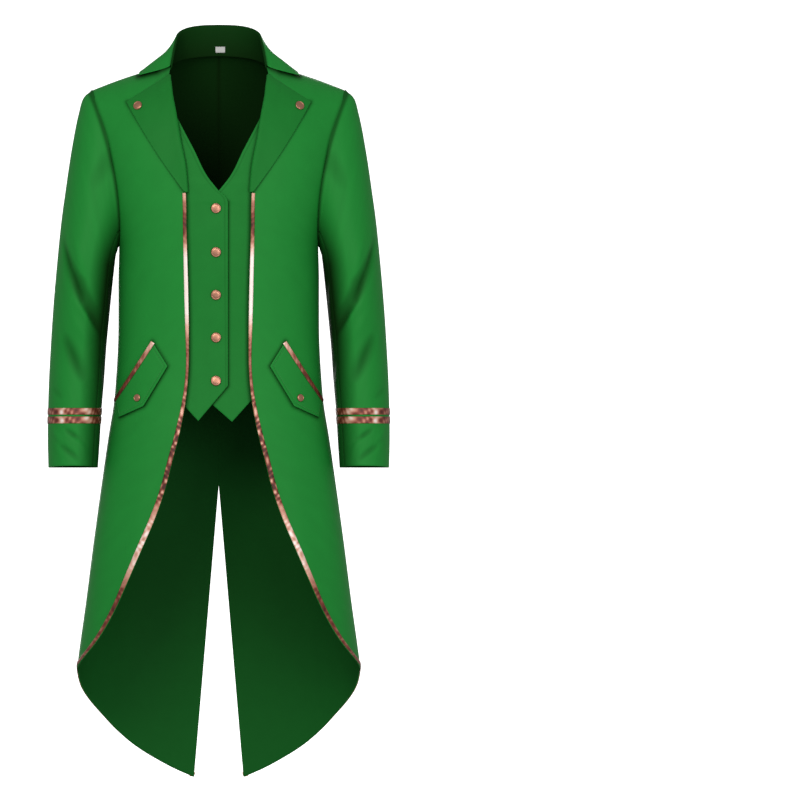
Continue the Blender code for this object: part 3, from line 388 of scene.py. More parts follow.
@dataclass(frozen=True)
class CoatForm:
    """The coat's body surface: superellipse sections below the chest, a quarter-ellipse yoke above."""

    armhole: Armhole = Armhole()
    squareness: float = 2.4
    neck_half_width: float = 77.0
    neck_back_depth: float = 68.0
    neck_side_height: float = 2.0
    neck_back_rise: float = 17.0
    shoulder_belly: float = 3.0
    collar_seat: float = 2.6
    collar_seat_width: float = 24.0
    lapel_break: float = -207.0
    side_seam_top: float = 90.0
    side_seam_hem: float = 100.0
    vent_top: float = -678.0
    vent_spread: float = 0.0845
    fold_reach: float = 150.0
    halvings: int = 36
    search_start: float = -1.5
    angle_step: float = 0.4
    last_angle: float = 179.5
    half_width_curve: Curve = Curve.of(BODY_SECTIONS, "height", "half_width")
    front_depth_curve: Curve = Curve.of(BODY_SECTIONS, "height", "front_depth")
    back_depth_curve: Curve = Curve.of(BODY_SECTIONS, "height", "back_depth")
    edge_curve: Curve = Curve.of(FRONT_EDGE, "at", "value")
    hem_curve: Curve = Curve.of(HEM, "at", "value")

    @property
    def chest(self) -> float:
        """Height where the yoke begins."""
        return self.armhole.chest_height

    @property
    def shoulder_run(self) -> float:
        """Level distance from the neck to the shoulder tip."""
        return self.armhole.tip[0] - self.neck_half_width

    def vent_edge(self, height: Array) -> Array:
        """Distance of a tail's vent edge from the centre."""
        return np.maximum(self.vent_top - height, 0) * self.vent_spread

    def depth(self, height: Array, back: Array) -> Array:
        """Depth of the section, to the front or to the back."""
        return np.where(back, self.back_depth_curve(height), self.front_depth_curve(height))

    def half_width(self, height: Array, back: Array) -> Array:
        """Half width of the section; above the underarm it is the one through the armhole seam."""
        low = self.armhole.underarm[1]
        level = np.clip((height - self.chest) / (self.chest - low), -1, 0)
        seam = self.armhole.point(np.degrees(np.arccos(level)))
        reach = (np.abs(seam[..., 1]) / self.depth(height, back)) ** self.squareness
        through_seam = seam[..., 0] / (1 - reach) ** (1 / self.squareness)
        return np.where(height > low, through_seam, self.half_width_curve(height))

    def body(self, angle: Array, height: Array) -> Array:
        """Point of the body surface on its left side."""
        angle, height = np.broadcast_arrays(np.asarray(angle, float), np.asarray(height, float))
        back = angle > 90
        turn = np.radians(angle)
        power = 2 / self.squareness
        sine, cosine = np.sin(turn), np.cos(turn)
        out = self.half_width(height, back) * np.sign(sine) * np.abs(sine) ** power
        deep = -self.depth(height, back) * np.sign(cosine) * np.abs(cosine) ** power
        return np.stack([out, deep, height], axis=-1)

    def body_normal(self, angle: Array, height: Array) -> Array:
        """Outward direction of the body surface."""
        across = self.body(angle + self.angle_step, height) - self.body(angle - self.angle_step, height)
        upward = self.body(angle, height + 1) - self.body(angle, height - 1)
        return unit(np.cross(across, upward))

    def angle_at(self, out: Array, height: Array, back: bool) -> Array:
        """Angle round the body of the point that lies this far from the centre."""
        ratio = np.clip(out / self.half_width(height, back), 0, 1) ** (self.squareness / 2)
        angle = np.degrees(np.arcsin(ratio))
        return 180 - angle if back else angle

    def shoulder(self, out: Array) -> Array:
        """Point of the shoulder seam at a distance from the centre."""
        share = (out - self.neck_half_width) / self.shoulder_run
        fall = self.neck_side_height + (self.armhole.tip[1] - self.neck_side_height) * share
        height = fall + self.shoulder_belly * np.sin(np.pi * np.clip(share, 0, 1))
        beneath_collar = np.clip((out - self.neck_half_width) / self.collar_seat_width, 0, 1)
        height = height + self.collar_seat * np.sin(np.pi * beneath_collar) ** 2
        return np.stack([out, np.zeros_like(out), height], axis=-1)

    def neck(self, angle: Array) -> Array:
        """Point of the back neck seam: 0 at the centre back, 90 at the shoulder seam."""
        turn = np.radians(np.asarray(angle, float))
        height = self.neck_side_height + self.neck_back_rise * np.cos(turn)
        deep = self.neck_back_depth * np.cos(turn)
        return np.stack([self.neck_half_width * np.sin(turn), deep, height], axis=-1)

    @staticmethod
    def yoke(chest: Array, top: Array, rise: Array) -> Array:
        """Quarter-ellipse profile, upright at the chest line and level at the top."""
        turn = np.radians(90 * rise)
        inward = 1 - np.cos(turn)
        return chest + (top - chest) * np.stack([inward, inward, np.sin(turn)], axis=-1)

    def front_yoke(self, across: Array, rise: Array) -> Array:
        """Upper front: across runs from the roll line to the armhole, rise from chest to shoulder."""
        across, rise = np.broadcast_arrays(np.asarray(across, float), np.asarray(rise, float))
        edge_angle = self.angle_at(self.edge_curve(self.chest), self.chest, False)
        seam_angle = self.angle_at(self.armhole.point(90)[0], self.chest, False)

        def plain(share: Array) -> Array:
            chest = self.body(edge_angle + share * (seam_angle - edge_angle), self.chest)
            return self.yoke(chest, self.shoulder(self.neck_half_width + share * self.shoulder_run), rise)

        points = plain(across)
        at_roll = plain(np.zeros_like(across))
        at_seam = plain(np.ones_like(across))
        to_seam = self.armhole.point(90 * (1 - rise)) - at_seam
        points = points + to_seam * (np.clip(across, 0, 1) ** 3)[..., None]
        to_roll = self.edge_curve(at_roll[..., 2]) - at_roll[..., 0]
        points[..., 0] += to_roll * np.clip(1 - across, 0, 1) ** 2
        return points

    def back_yoke(self, across: Array, rise: Array, neck_share: float) -> Array:
        """Upper back from the centre seam to the armhole; the neck seam takes the first share of it."""
        across, rise = np.broadcast_arrays(np.asarray(across, float), np.asarray(rise, float))
        seam_angle = self.angle_at(self.armhole.point(90)[0], self.chest, True)

        def plain(share: Array) -> Array:
            neck = self.neck(90 * np.clip(share / neck_share, 0, 1))
            past = np.clip((share - neck_share) / (1 - neck_share), 0, 1)
            shoulder = self.shoulder(self.neck_half_width + past * self.shoulder_run)
            top = np.where((share <= neck_share)[..., None], neck, shoulder)
            return self.yoke(self.body(180 + share * (seam_angle - 180), self.chest), top, rise)

        to_seam = self.armhole.point(-90 * (1 - rise)) - plain(np.ones_like(across))
        return plain(across) + to_seam * (across**3)[..., None]

    def side_seam(self, share: Array) -> Array:
        """Angle of the side seam, a share of the way from the underarm to the hem."""
        return self.side_seam_top + (self.side_seam_hem - self.side_seam_top) * np.sqrt(share)

    def skirt_height(self, share: Array, hem_angle: Array) -> Array:
        """Height of a skirt row: level at the underarm, and the hem at the last."""
        return self.armhole.underarm[1] + share * (self.hem_curve(hem_angle) - self.armhole.underarm[1])

    def front_skirt(self, across: Array, share: Array) -> tuple[Array, Array]:
        """Angle and height below the underarm, from the front edge to the side seam."""
        height = self.skirt_height(share, 90 + across * (self.side_seam_hem - 90))
        edge_height = self.skirt_height(share, 90 + across * 0)
        edge_angle = self.angle_at(self.edge_curve(edge_height), edge_height, False)
        return edge_angle + across * (self.side_seam(share) - edge_angle), height

    def back_skirt(self, across: Array, share: Array) -> tuple[Array, Array]:
        """Angle and height below the underarm, from the centre or vent to the side seam."""
        height = self.skirt_height(share, 180 + across * (self.side_seam_hem - 180))
        centre_height = self.skirt_height(share, 180 + across * 0)
        centre_angle = self.angle_at(self.vent_edge(centre_height), centre_height, True)
        return centre_angle + across * (self.side_seam(share) - centre_angle), height

    def front_at(self, out: Array, height: Array) -> Array:
        """Point of the front surface, placed as seen from the front; the yoke is found by halving."""
        out, height = np.broadcast_arrays(np.asarray(out, float), np.asarray(height, float))
        angle = self.angle_at(np.abs(out), np.minimum(height, self.chest), False)
        low = self.body(angle, np.minimum(height, self.chest))
        left, right = np.full(out.shape, self.search_start), np.ones(out.shape)
        for _ in range(self.halvings):
            middle = (left + right) / 2
            top = self.shoulder(self.neck_half_width + middle * self.shoulder_run)[..., 2]
            lift = np.clip((height - self.chest) / (top - self.chest), 0, 1)
            rise = np.arcsin(lift) / (np.pi / 2)
            inside = self.front_yoke(middle, rise)[..., 0] < np.abs(out)
            left = np.where(inside, middle, left)
            right = np.where(inside, right, middle)
        high = self.front_yoke(left, rise)
        deep = np.where(height > self.chest, high[..., 1], low[..., 1])
        return np.stack([out, deep, height], axis=-1)

    def front_normal(self, out: Array, height: Array) -> Array:
        """Outward direction of the front surface."""
        slope_out = self.front_at(out + 1, height)[..., 1] - self.front_at(out - 1, height)[..., 1]
        slope_up = self.front_at(out, height + 1)[..., 1] - self.front_at(out, height - 1)[..., 1]
        return unit(np.stack([slope_out / 2, -np.ones(slope_out.shape), slope_up / 2], axis=-1))

    def back_at(self, out: Array, height: Array) -> tuple[Array, Array]:
        """Point and outward direction of the back surface, placed as seen from behind."""
        angle = self.angle_at(np.abs(out), height, True)
        side = np.stack([np.where(out < 0, -1, 1), np.ones(angle.shape), np.ones(angle.shape)], axis=-1)
        normals = self.body_normal(np.minimum(angle, self.last_angle), height)
        return self.body(angle, height) * side, normals * side

    def relief(self, points: Array) -> Array:
        """How far the cloth's waves and creases raise the body surface at points on it."""
        angle = np.degrees(np.arctan2(np.abs(points[..., 0]), -points[..., 1]))
        return -folded(BODY_FOLDS, angle, points[..., 2], self.fold_reach)


@dataclass(frozen=True)
class SleeveForm:
    """The sleeve's surface: a cap that turns from the armhole to level, then level ovals."""

    armhole: Armhole = Armhole()
    underarm: tuple[Pair, Pair] = ((164.2, -295.0), (169.0, -309.0))
    top: float = -309.0
    cuff: float = -655.0
    cuff_arch: float = 3.0
    arch_power: int = 8
    fold_reach: float = 55.0
    fore_seam: float = 144.0
    hind_seam: float = 234.0
    crown_out: Curve = Curve.of(SLEEVE_CROWN, "share", "out")
    crown_height: Curve = Curve.of(SLEEVE_CROWN, "share", "height")
    inner: Curve = Curve.of(SLEEVE_SECTIONS, "height", "inner")
    outer: Curve = Curve.of(SLEEVE_SECTIONS, "height", "outer")
    half_depth: Curve = Curve.of(SLEEVE_SECTIONS, "height", "half_depth")
    middle: Curve = Curve.of(SLEEVE_SECTIONS, "height", "middle")

    def cap(self, angle: Array, share: Array) -> Array:
        """Cap sections: each an oval across the line from crown to underarm, hollow near the body."""
        angle, share = np.broadcast_arrays(np.asarray(angle, float), np.asarray(share, float))
        turn = np.radians(angle)
        flat = np.zeros(share.shape)
        crown = np.stack([self.crown_out(share), flat, self.crown_height(share)], axis=-1)
        start, end = np.array(self.underarm)
        low = start + share[..., None] * (end - start)
        under = np.stack([low[..., 0], flat, low[..., 1]], axis=-1)
        ring = (crown + under) / 2 + np.cos(turn)[..., None] * (crown - under) / 2
        half_depth = self.armhole.depth + share * (self.half_depth(self.top) - self.armhole.depth)
        ring[..., 0] -= self.armhole.hollow * (1 - share) * np.sin(turn) ** 2
        ring[..., 1] -= half_depth * np.sin(turn)
        return ring

    def section(self, angle: Array, height: Array) -> Array:
        """Level oval sections below the cap, with the largest folds sunk in and the cuff arched."""
        sink = folded(SLEEVE_FOLDS, angle, height, self.fold_reach)
        turn = np.radians(angle)
        inner, outer = self.inner(height), self.outer(height)
        out = (inner + outer) / 2 + ((outer - inner) / 2 - sink) * np.cos(turn)
        deep = self.middle(height) - (self.half_depth(height) - sink) * np.sin(turn)
        low = np.clip((height - self.top) / (self.cuff - self.top), 0, 1)
        arch = self.cuff_arch * np.clip(np.sin(turn), 0, 1) * low**self.arch_power
        return np.stack(np.broadcast_arrays(out, deep, height + arch), axis=-1)

    def surface(self, angle: Array, height: Array) -> tuple[Array, Array]:
        """Point and outward direction below the cap, with the fine creases."""
        here = self.section(angle, height)
        across = self.section(angle + 1, height) - self.section(angle - 1, height)
        upward = self.section(angle, height + 1) - self.section(angle, height - 1)
        normal = unit(np.cross(upward, across))
        return here + normal * self.creases(angle, height)[..., None], normal

    def creases(self, angle: Array, height: Array) -> Array:
        """How far the fine creases raise the sleeve."""
        return -folded(SLEEVE_CREASES, angle, height, self.fold_reach)


@dataclass(frozen=True)
class CollarForm:
    """The collar's middle surface, from the neck seam up the stand, over the fold and down the leaf."""

    coat: CoatForm
    seam_inset: float = 1.9
    seam_depth: float = 2.4
    roll: float = 2.6
    roll_drop: float = 1.3
    inset_fade: float = 30.0

    def grid(self, rows: int, half_columns: int) -> Array:
        """Rows from the neck seam to the leaf's edge, columns from the right front to the left."""
        order = np.arange(len(COLLAR_STATIONS))
        places = np.linspace(0, order[-1], half_columns)
        neck_angle, fold, leaf_middle, leaf_edge = (
            Curve(order, np.array([getattr(row, name) for row in COLLAR_STATIONS], float))(places)
            for name in CollarStation._fields
        )
        on_front = self.coat.front_yoke(np.zeros(half_columns), 1 - np.clip(neck_angle - 90, 0, 90) / 90)
        neck = np.where((neck_angle <= 90)[:, None], self.coat.neck(neck_angle), on_front)
        inset = self.seam_inset * np.clip((90 - neck_angle) / self.inset_fade, 0, 1)[:, None]
        neck = neck - unit(neck * (1, 1, 0)) * inset - (0, 0, self.seam_depth)
        roll = unit((leaf_middle - neck) * (1, 1, 0)) * self.roll
        drop = np.array([0, 0, self.roll_drop * self.roll])
        stand_top, leaf_top = fold - roll - drop, fold + roll - drop
        profile = np.array([neck, (neck + stand_top) / 2, stand_top, fold, leaf_top, leaf_middle, leaf_edge])
        left = Curve(np.arange(len(profile)), profile)(np.linspace(0, len(profile) - 1, rows))
        return np.concatenate([left[:, :0:-1] * (-1, 1, 1), left], axis=1)


@dataclass
class Cloth:
    """A grid of points that stands for one cut piece, with its outward directions.

    Args:
        points: rows by columns of points on the piece's middle surface.
        normals: outward direction at each point.
        closed: whether the last column joins the first.
        raised: distance that the surface is raised along its direction.
        shade: painted light and shade, how bright the outer face's colour is, from 0 to 1; on foil, its
            painted reflections.
        inner_shade: the same painted shade for the inner face.
    """

    points: Array
    normals: Array
    closed: bool = False
    raised: Array = field(init=False)
    shade: Array = field(init=False)
    inner_shade: Array = field(init=False)

    def __post_init__(self) -> None:
        self.raised = np.zeros(self.points.shape[:2])
        self.shade = np.ones(self.points.shape[:2])
        self.inner_shade = np.ones(self.points.shape[:2])

    @classmethod
    def facing_away(cls, points: Array, centre: Array, closed: bool = False) -> "Cloth":
        """Cloth whose directions are worked out from its grid, on the side away from a centre."""
        if closed:
            across = np.roll(points, -1, axis=1) - np.roll(points, 1, axis=1)
        else:
            across = np.gradient(points, axis=1)
        normals = unit(np.cross(np.gradient(points, axis=0), across))
        normals *= np.sign(np.sum(normals * (points - centre)))
        return cls(points, normals, closed)

    def from_edge(self, edge: Edge) -> Array:
        """Distance of each point from an edge, measured along the grid."""
        axis, last = edge.value
        points = np.flip(self.points, axis) if last else self.points
        steps = np.linalg.norm(np.diff(points, axis=axis), axis=-1)
        start = np.zeros_like(np.take(steps, [0], axis=axis))
        distance = np.concatenate([start, np.cumsum(steps, axis=axis)], axis=axis)
        return np.flip(distance, axis) if last else distance

    def lower(self, distance: Array, groove: Dip) -> None:
        """Sinks the cloth towards a line, by each point's distance from it."""
        self.raised -= groove.amount * bell(distance, groove.half_width)

    def darken(self, distance: Array, shadow: Dip) -> None:
        """Paints shade on the outer face towards a line, by each point's distance from it."""
        self.shade *= 1 - shadow.amount * bell(distance, shadow.half_width)

    def seated(self) -> Array:
        """The points with what raises them."""
        return self.points + self.normals * self.raised[..., None]

    def at(self, offset: float) -> Array:
        """The surface at an offset from the middle surface."""
        return self.seated() + self.normals * offset

    def lengths(self) -> Triple:
        """Largest width and length along the grid and the area, in metres and square metres."""
        points = self.seated()
        if self.closed:
            points = np.concatenate([points, points[:, :1]], axis=1)
        across = np.linalg.norm(np.diff(points, axis=1), axis=-1).sum(axis=1).max()
        down = np.linalg.norm(np.diff(points, axis=0), axis=-1).sum(axis=0).max()
        first, second = np.diff(points[:-1], axis=1), np.diff(points[:, :-1], axis=0)
        area = np.linalg.norm(np.cross(first, second), axis=-1).sum()
        return across * MILLIMETRE, down * MILLIMETRE, area * MILLIMETRE**2


@dataclass(frozen=True)
class MeshParts:
    """Vertices, faces as lists of corners, and the face corners' cloth coordinates and painted shade."""

    vertices: Array
    faces: Array
    weave: Array
    shade: Array


def grid_faces(index: Array) -> Array:
    """Four-cornered faces between neighbouring entries of a grid of vertex numbers."""
    corners = (index[:-1, :-1], index[:-1, 1:], index[1:, 1:], index[1:, :-1])
    return np.stack([corner.ravel() for corner in corners], axis=-1)


def ring_index(rows: int, columns: int) -> Array:
    """Vertex numbers of a grid whose last column joins the first."""
    index = np.arange(rows * columns).reshape(rows, columns)
    return np.concatenate([index, index[:, :1]], axis=1)


def outward(vertices: Array, faces: Array) -> Array:
    """The faces, turned round if they enclose a negative volume."""
    first, second, third, fourth = (vertices[faces[:, k]] for k in range(4))
    volume = np.sum(first * np.cross(second, third)) + np.sum(first * np.cross(third, fourth))
    return faces if volume > 0 else faces[:, ::-1]


def border(rows: int, columns: int) -> tuple[Array, Array, Array]:
    """Row and column of each point round a grid's border, and its step away from the grid."""
    top = np.stack([np.zeros(columns - 1, int), np.arange(columns - 1)])
    right = np.stack([np.arange(rows - 1), np.full(rows - 1, columns - 1)])
    bottom = np.stack([np.full(columns - 1, rows - 1), np.arange(columns - 1, 0, -1)])
    left = np.stack([np.arange(rows - 1, 0, -1), np.zeros(rows - 1, int)])
    row, column = np.concatenate([top, right, bottom, left], axis=1)
    step_row = np.where(row == 0, -1, np.where(row == rows - 1, 1, 0))
    step_column = np.where(column == 0, -1, np.where(column == columns - 1, 1, 0))
    return row, column, np.stack([step_row, step_column])


def shell(cloth: Cloth, inner: float, outer: float) -> MeshParts:
    """Thin closed wall between two offsets from a cloth, whose open edges are folded round.

    The wall has an outer and an inner sheet of the same grid. Round every open edge a middle line
    stands out from the grid by a share of the wall, so the edge looks turned and not cut.
    """
    rows, columns = cloth.points.shape[:2]
    outside, inside = cloth.at(outer), cloth.at(inner)
    middle = (outside + inside) / 2
    bulge = RIM_ROUNDING * (outer - inner) / 2
    along, across = cloth.from_edge(Edge.FIRST_ROW), cloth.from_edge(Edge.FIRST_COLUMN)
    weave = np.stack([across, along], axis=-1).reshape(-1, 2) * MILLIMETRE
    index = np.arange(rows * columns).reshape(rows, columns)
    if cloth.closed:
        index = np.concatenate([index, index[:, :1]], axis=1)
        loops = [
            (np.zeros(columns + 1, int), np.arange(columns + 1) % columns, 1),
            (np.full(columns + 1, rows - 1), np.arange(columns + 1) % columns, -1),
        ]
        rims = [(row, column, unit(middle[row, column] - middle[row + step, column]))
                for row, column, step in loops]
    else:
        row, column, step = border(rows, columns)
        down = unit(middle[row, column] - middle[row - step[0], column] + TINY) * np.abs(step[0])[:, None]
        side = unit(middle[row, column] - middle[row, column - step[1]] + TINY) * np.abs(step[1])[:, None]
        again = np.append(np.arange(len(row)), 0)
        rims = [(row[again], column[again], (down + side)[again])]
    count = rows * columns
    faces = [grid_faces(index), grid_faces(index + count)[:, ::-1]]
    extra, extra_weave, extra_shade = [], [], []
    start = 2 * count
    for row, column, away in rims:
        ring = start + np.append(np.arange(len(row) - 1), 0)
        extra.append(middle[row[:-1], column[:-1]] + away[:-1] * bulge)
        extra_weave.append(weave[index[row[:-1], column[:-1]]])
        extra_shade.append(cloth.shade[row[:-1], column[:-1]])
        edge = np.stack([index[row, column], ring, index[row, column] + count])
        turned = edge if row[0] == 0 else edge[::-1]
        faces.append(grid_faces(turned)[:, ::-1])
        start += len(row) - 1
    vertices = np.concatenate([outside.reshape(-1, 3), inside.reshape(-1, 3), *extra]) * MILLIMETRE
    return MeshParts(
        vertices,
        outward(vertices, np.concatenate(faces)),
        np.concatenate([weave, weave, *extra_weave]),
        np.concatenate([cloth.shade.ravel(), cloth.inner_shade.ravel(), *extra_shade]),
    )


def thread(line: Array, normals: Array, stitch: Stitch) -> MeshParts:
    """Row of stitches along a line: each is a short rounded rod whose ends dip into the cloth.

    Args:
        line: points of the seam on the cloth's outer face.
        normals: outward directions there.
        stitch: the stitches' size.

    Returns:
        The rods, each of five rings of six points.
    """
    steps = np.linalg.norm(np.diff(line, axis=0), axis=-1)
    distance = np.append(0, np.cumsum(steps))
    half = stitch.length / 2
    places = np.arange(half, distance[-1] - half, stitch.length + stitch.gap)

    def at(rows: Array, where: Array) -> Array:
        return np.stack([np.interp(where, distance, rows[:, k]) for k in range(3)], axis=-1)

    centre, normal = at(line, places), unit(at(normals, places))
    run = unit(at(line, places + 0.5) - centre + TINY)
    side = np.cross(normal, run)
    turn = np.arange(ROD_SIDES) * 2 * np.pi / ROD_SIDES
    lift = stitch.radius * (ROD_DIP / 2 - ROD_DIP * ROD_LEVELS**2)
    reach = ROD_LEVELS * stitch.length / 2
    rings = centre[:, None, None, :] + run[:, None, None, :] * reach[None, :, None, None]
    out = side[:, None, None, :] * np.cos(turn)[None, None, :, None]
    up = normal[:, None, None, :] * np.sin(turn)[None, None, :, None]
    rings = rings + (out + up) * (ROD_GIRTHS * stitch.radius)[None, :, None, None]
    rings = rings + normal[:, None, None, :] * lift[None, :, None, None]
    one = np.concatenate([grid_faces(ring_index(len(ROD_LEVELS), ROD_SIDES)), ROD_ENDS])
    rod_starts = len(ROD_LEVELS) * ROD_SIDES * np.arange(len(places))
    faces = (one[None] + rod_starts[:, None, None]).reshape(-1, 4)
    vertices = rings.reshape(-1, 3) * MILLIMETRE
    count = len(vertices)
    return MeshParts(vertices, outward(vertices, faces), np.zeros((count, 2)), np.ones(count))


def lathe(profile: Sequence[Pair], centre: Array, axis: Array,
          sides: int) -> MeshParts:
    """Body turned on an axis: its profile is a smooth curve through radius and height pairs."""
    knots = np.array(profile, float)
    places = np.linspace(0, len(knots) - 1, LATHE_STEPS * len(knots))
    line = Curve(np.arange(len(knots)), knots)(places)
    radius, height = np.maximum(line[:, 0], LATHE_LEAST), line[:, 1]
    turn = np.arange(sides) * 2 * np.pi / sides
    across = unit(np.cross(axis, (0.0, 0.0, 1.0)) + (1e-6, 0, 0))
    upward = np.cross(across, axis)
    ring = np.cos(turn)[:, None] * across + np.sin(turn)[:, None] * upward
    points = centre + radius[:, None, None] * ring + height[:, None, None] * axis
    index = ring_index(*points.shape[:2])
    caps = [index[0, :-1], index[-1, :-1][::-1]]
    quads = [np.stack([np.full(sides // 2 - 1, cap[0]), cap[1:-2:2], cap[2:-1:2], cap[3::2]], axis=-1)
             for cap in caps]
    faces = np.concatenate([grid_faces(index), quads[0][:, ::-1], quads[1][:, ::-1]])
    vertices = points.reshape(-1, 3) * MILLIMETRE
    weave = np.stack(np.meshgrid(np.arange(sides) / sides, line[:, 1] * MILLIMETRE), axis=-1).reshape(-1, 2)
    return MeshParts(vertices, outward(vertices, faces), weave, np.ones(len(vertices)))


def mirrored(part: MeshParts, side: Side) -> MeshParts:
    """A left piece as it is, or its mirror image for the right side."""
    if side is Side.LEFT:
        return part
    return MeshParts(part.vertices * (-1, 1, 1), part.faces[:, ::-1], part.weave, part.shade)


def add_object(name: str, part: MeshParts) -> bpy.types.Object:
    """Makes a smooth object at the origin, with its weave coordinates and its painted shade.

    Args:
        name: the object's name.
        part: its mesh, in metres.

    Returns:
        The object, which rides on the coat's one body.
    """
    mesh = bpy.data.meshes.new(name)
    faces = np.ascontiguousarray(part.faces, dtype=np.int32)
    mesh.vertices.add(len(part.vertices))
    mesh.vertices.foreach_set("co", part.vertices.astype(np.float32).ravel())
    mesh.loops.add(faces.size)
    mesh.loops.foreach_set("vertex_index", faces.ravel())
    mesh.polygons.add(len(faces))
    mesh.polygons.foreach_set("loop_start", np.arange(0, faces.size, 4, dtype=np.int32))
    mesh.update(calc_edges=True)
    mesh.validate()
    corner = np.empty(len(mesh.loops), np.int32)
    mesh.loops.foreach_get("vertex_index", corner)
    weave = mesh.uv_layers.new(name="weave")
    weave.uv.foreach_set("vector", part.weave[corner].astype(np.float32).ravel())
    shade = mesh.attributes.new("shade", "FLOAT", "POINT")
    shade.data.foreach_set("value", part.shade.astype(np.float32))
    mesh.shade_smooth()
    piece = bpy.data.objects.new(name, mesh)
    bpy.context.scene.collection.objects.link(piece)
    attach(piece, "root")
    return piece


class Finish(Enum):
    """A finish, by the material slot of the record that it belongs to."""

    SUITING = ("suiting_green", "coat_cloth")
    WAISTCOAT = ("suiting_green_waistcoat", "waistcoat_cloth")
    THREAD = ("polyester_thread", "coat_cloth")
    ROSE_BRAID = ("rose_foil_braid", "trim")
    COPPER_BRAID = ("copper_foil_braid", "trim")
    ROSE_METAL = ("rose_copper_plate", "button_metal")
    COPPER_METAL = ("red_copper_plate", "button_metal")
    SATIN = ("white_satin", "label")


def linear(colour: str, alpha: float = 1.0) -> tuple[float, float, float, float]:
    """Linear RGBA of an sRGB colour written as #rrggbb."""
    parts = [int(colour[k:k + 2], 16) / 255 for k in (1, 3, 5)]
    red, green, blue = (p / 12.92 if p <= 0.04045 else ((p + 0.055) / 1.055) ** 2.4 for p in parts)
    return red, green, blue, alpha


class Shader:
    """A material's nodes, round one Principled BSDF."""

    def __init__(self, name: str) -> None:
        self.material = bpy.data.materials.new(name)
        self.material.use_nodes = True
        self.tree = self.material.node_tree
        self.surface = self.tree.nodes["Principled BSDF"]

    def node(self, kind: str, inputs: Optional[dict] = None, **settings) -> bpy.types.Node:
        """Adds a node.

        Args:
            kind: the node's Blender type.
            inputs: value, or socket to link from, for each input by name or number.
            settings: the node's own properties.

        Returns:
            The node.
        """
        made = self.tree.nodes.new(kind)
        for name, value in settings.items():
            setattr(made, name, value)
        for name, value in (inputs or {}).items():
            self.feed(made.inputs[name], value)
        return made

    def feed(self, socket: Socket, value) -> None:
        """Sets a socket to a value, or links another socket to it."""
        if isinstance(value, Socket):
            self.tree.links.new(value, socket)
        else:
            socket.default_value = value

    def set(self, **values) -> None:
        """Feeds the Principled BSDF's inputs, whose names are written with underscores."""
        for name, value in values.items():
            self.feed(self.surface.inputs[name.replace("_", " ").title().replace("Ior", "IOR")], value)

    def weave(self) -> Socket:
        """The cloth's own coordinates, in metres."""
        return self.node("ShaderNodeUVMap", uv_map="weave").outputs["UV"]

    def shade(self) -> Socket:
        """The painted shade, or on foil the painted reflections, that the mesh carries at each point."""
        return self.node("ShaderNodeAttribute", attribute_name="shade").outputs["Fac"]

    def noise(self, place: Socket, scale: float, detail: float) -> Socket:
        """Noise at a place."""
        return self.node("ShaderNodeTexNoise", {"Vector": place, "Scale": scale, "Detail": detail}).outputs[0]

    def between(self, value: Socket, low: float, high: float) -> Socket:
        """A value from 0 to 1, spread between two others."""
        return self.node("ShaderNodeMapRange", {"Value": value, "To Min": low, "To Max": high}).outputs[0]

    def bump(self, height: Socket, strength: float, distance: float, **more) -> Socket:
        """Direction of a face roughened by a height, over a distance in metres."""
        inputs = {"Height": height, "Strength": strength, "Distance": distance, **more}
        return self.node("ShaderNodeBump", inputs).outputs[0]


@dataclass(frozen=True)
class Suiting:
    """Piece-dyed polyester twill, brushed once so that it has a soft even sheen.

    Args:
        colour: dye colour.
        hollow: colour that the painted shade darkens the dye towards, where almost no light reaches the
            cloth.
        gloss: how much a fully lit face reflects.
        twill_scale: scale of the twill's wave texture.
    """

    colour: str = "#1c7c2f"
    hollow: str = "#0e240b"
    gloss: float = 0.09
    twill_scale: float = 1 / 0.0006 / 20

    def build(self, name: str) -> Material:
        """Makes the material: dye darkened by the painted shade, a faint cloudiness, and a twill and a nap as
        bumps; the gloss fades with the painted shade too.
        """
        shader = Shader(name)
        weave, shade = shader.weave(), shader.shade()
        level = shader.between(shader.noise(weave, 34.0, 3.0), 0.92, 1.08)
        dye = shader.node(
            "ShaderNodeMix", {6: linear(self.colour), 7: level, "Factor": 1.0},
            data_type="RGBA", blend_type="MULTIPLY",
        )
        shaded = shader.node(
            "ShaderNodeMix", {"Factor": shade, 6: linear(self.hollow), 7: dye.outputs[2]}, data_type="RGBA",
        )
        twill = shader.node(
            "ShaderNodeTexWave", {"Vector": weave, "Scale": self.twill_scale, "Distortion": 0.6},
            bands_direction="DIAGONAL",
        )
        twill_bump = shader.bump(twill.outputs["Fac"], 0.06, 0.0001)
        bump = shader.bump(shader.noise(weave, 900.0, 2.0), 0.12, 0.0002, Normal=twill_bump)
        # Painted shade also dims the gloss
        gloss = shader.node("ShaderNodeMath", {0: shade, 1: self.gloss}, operation="MULTIPLY").outputs[0]
        shader.set(base_color=shaded.outputs[2], normal=bump, roughness=0.55, specular_ior_level=gloss)
        return shader.material


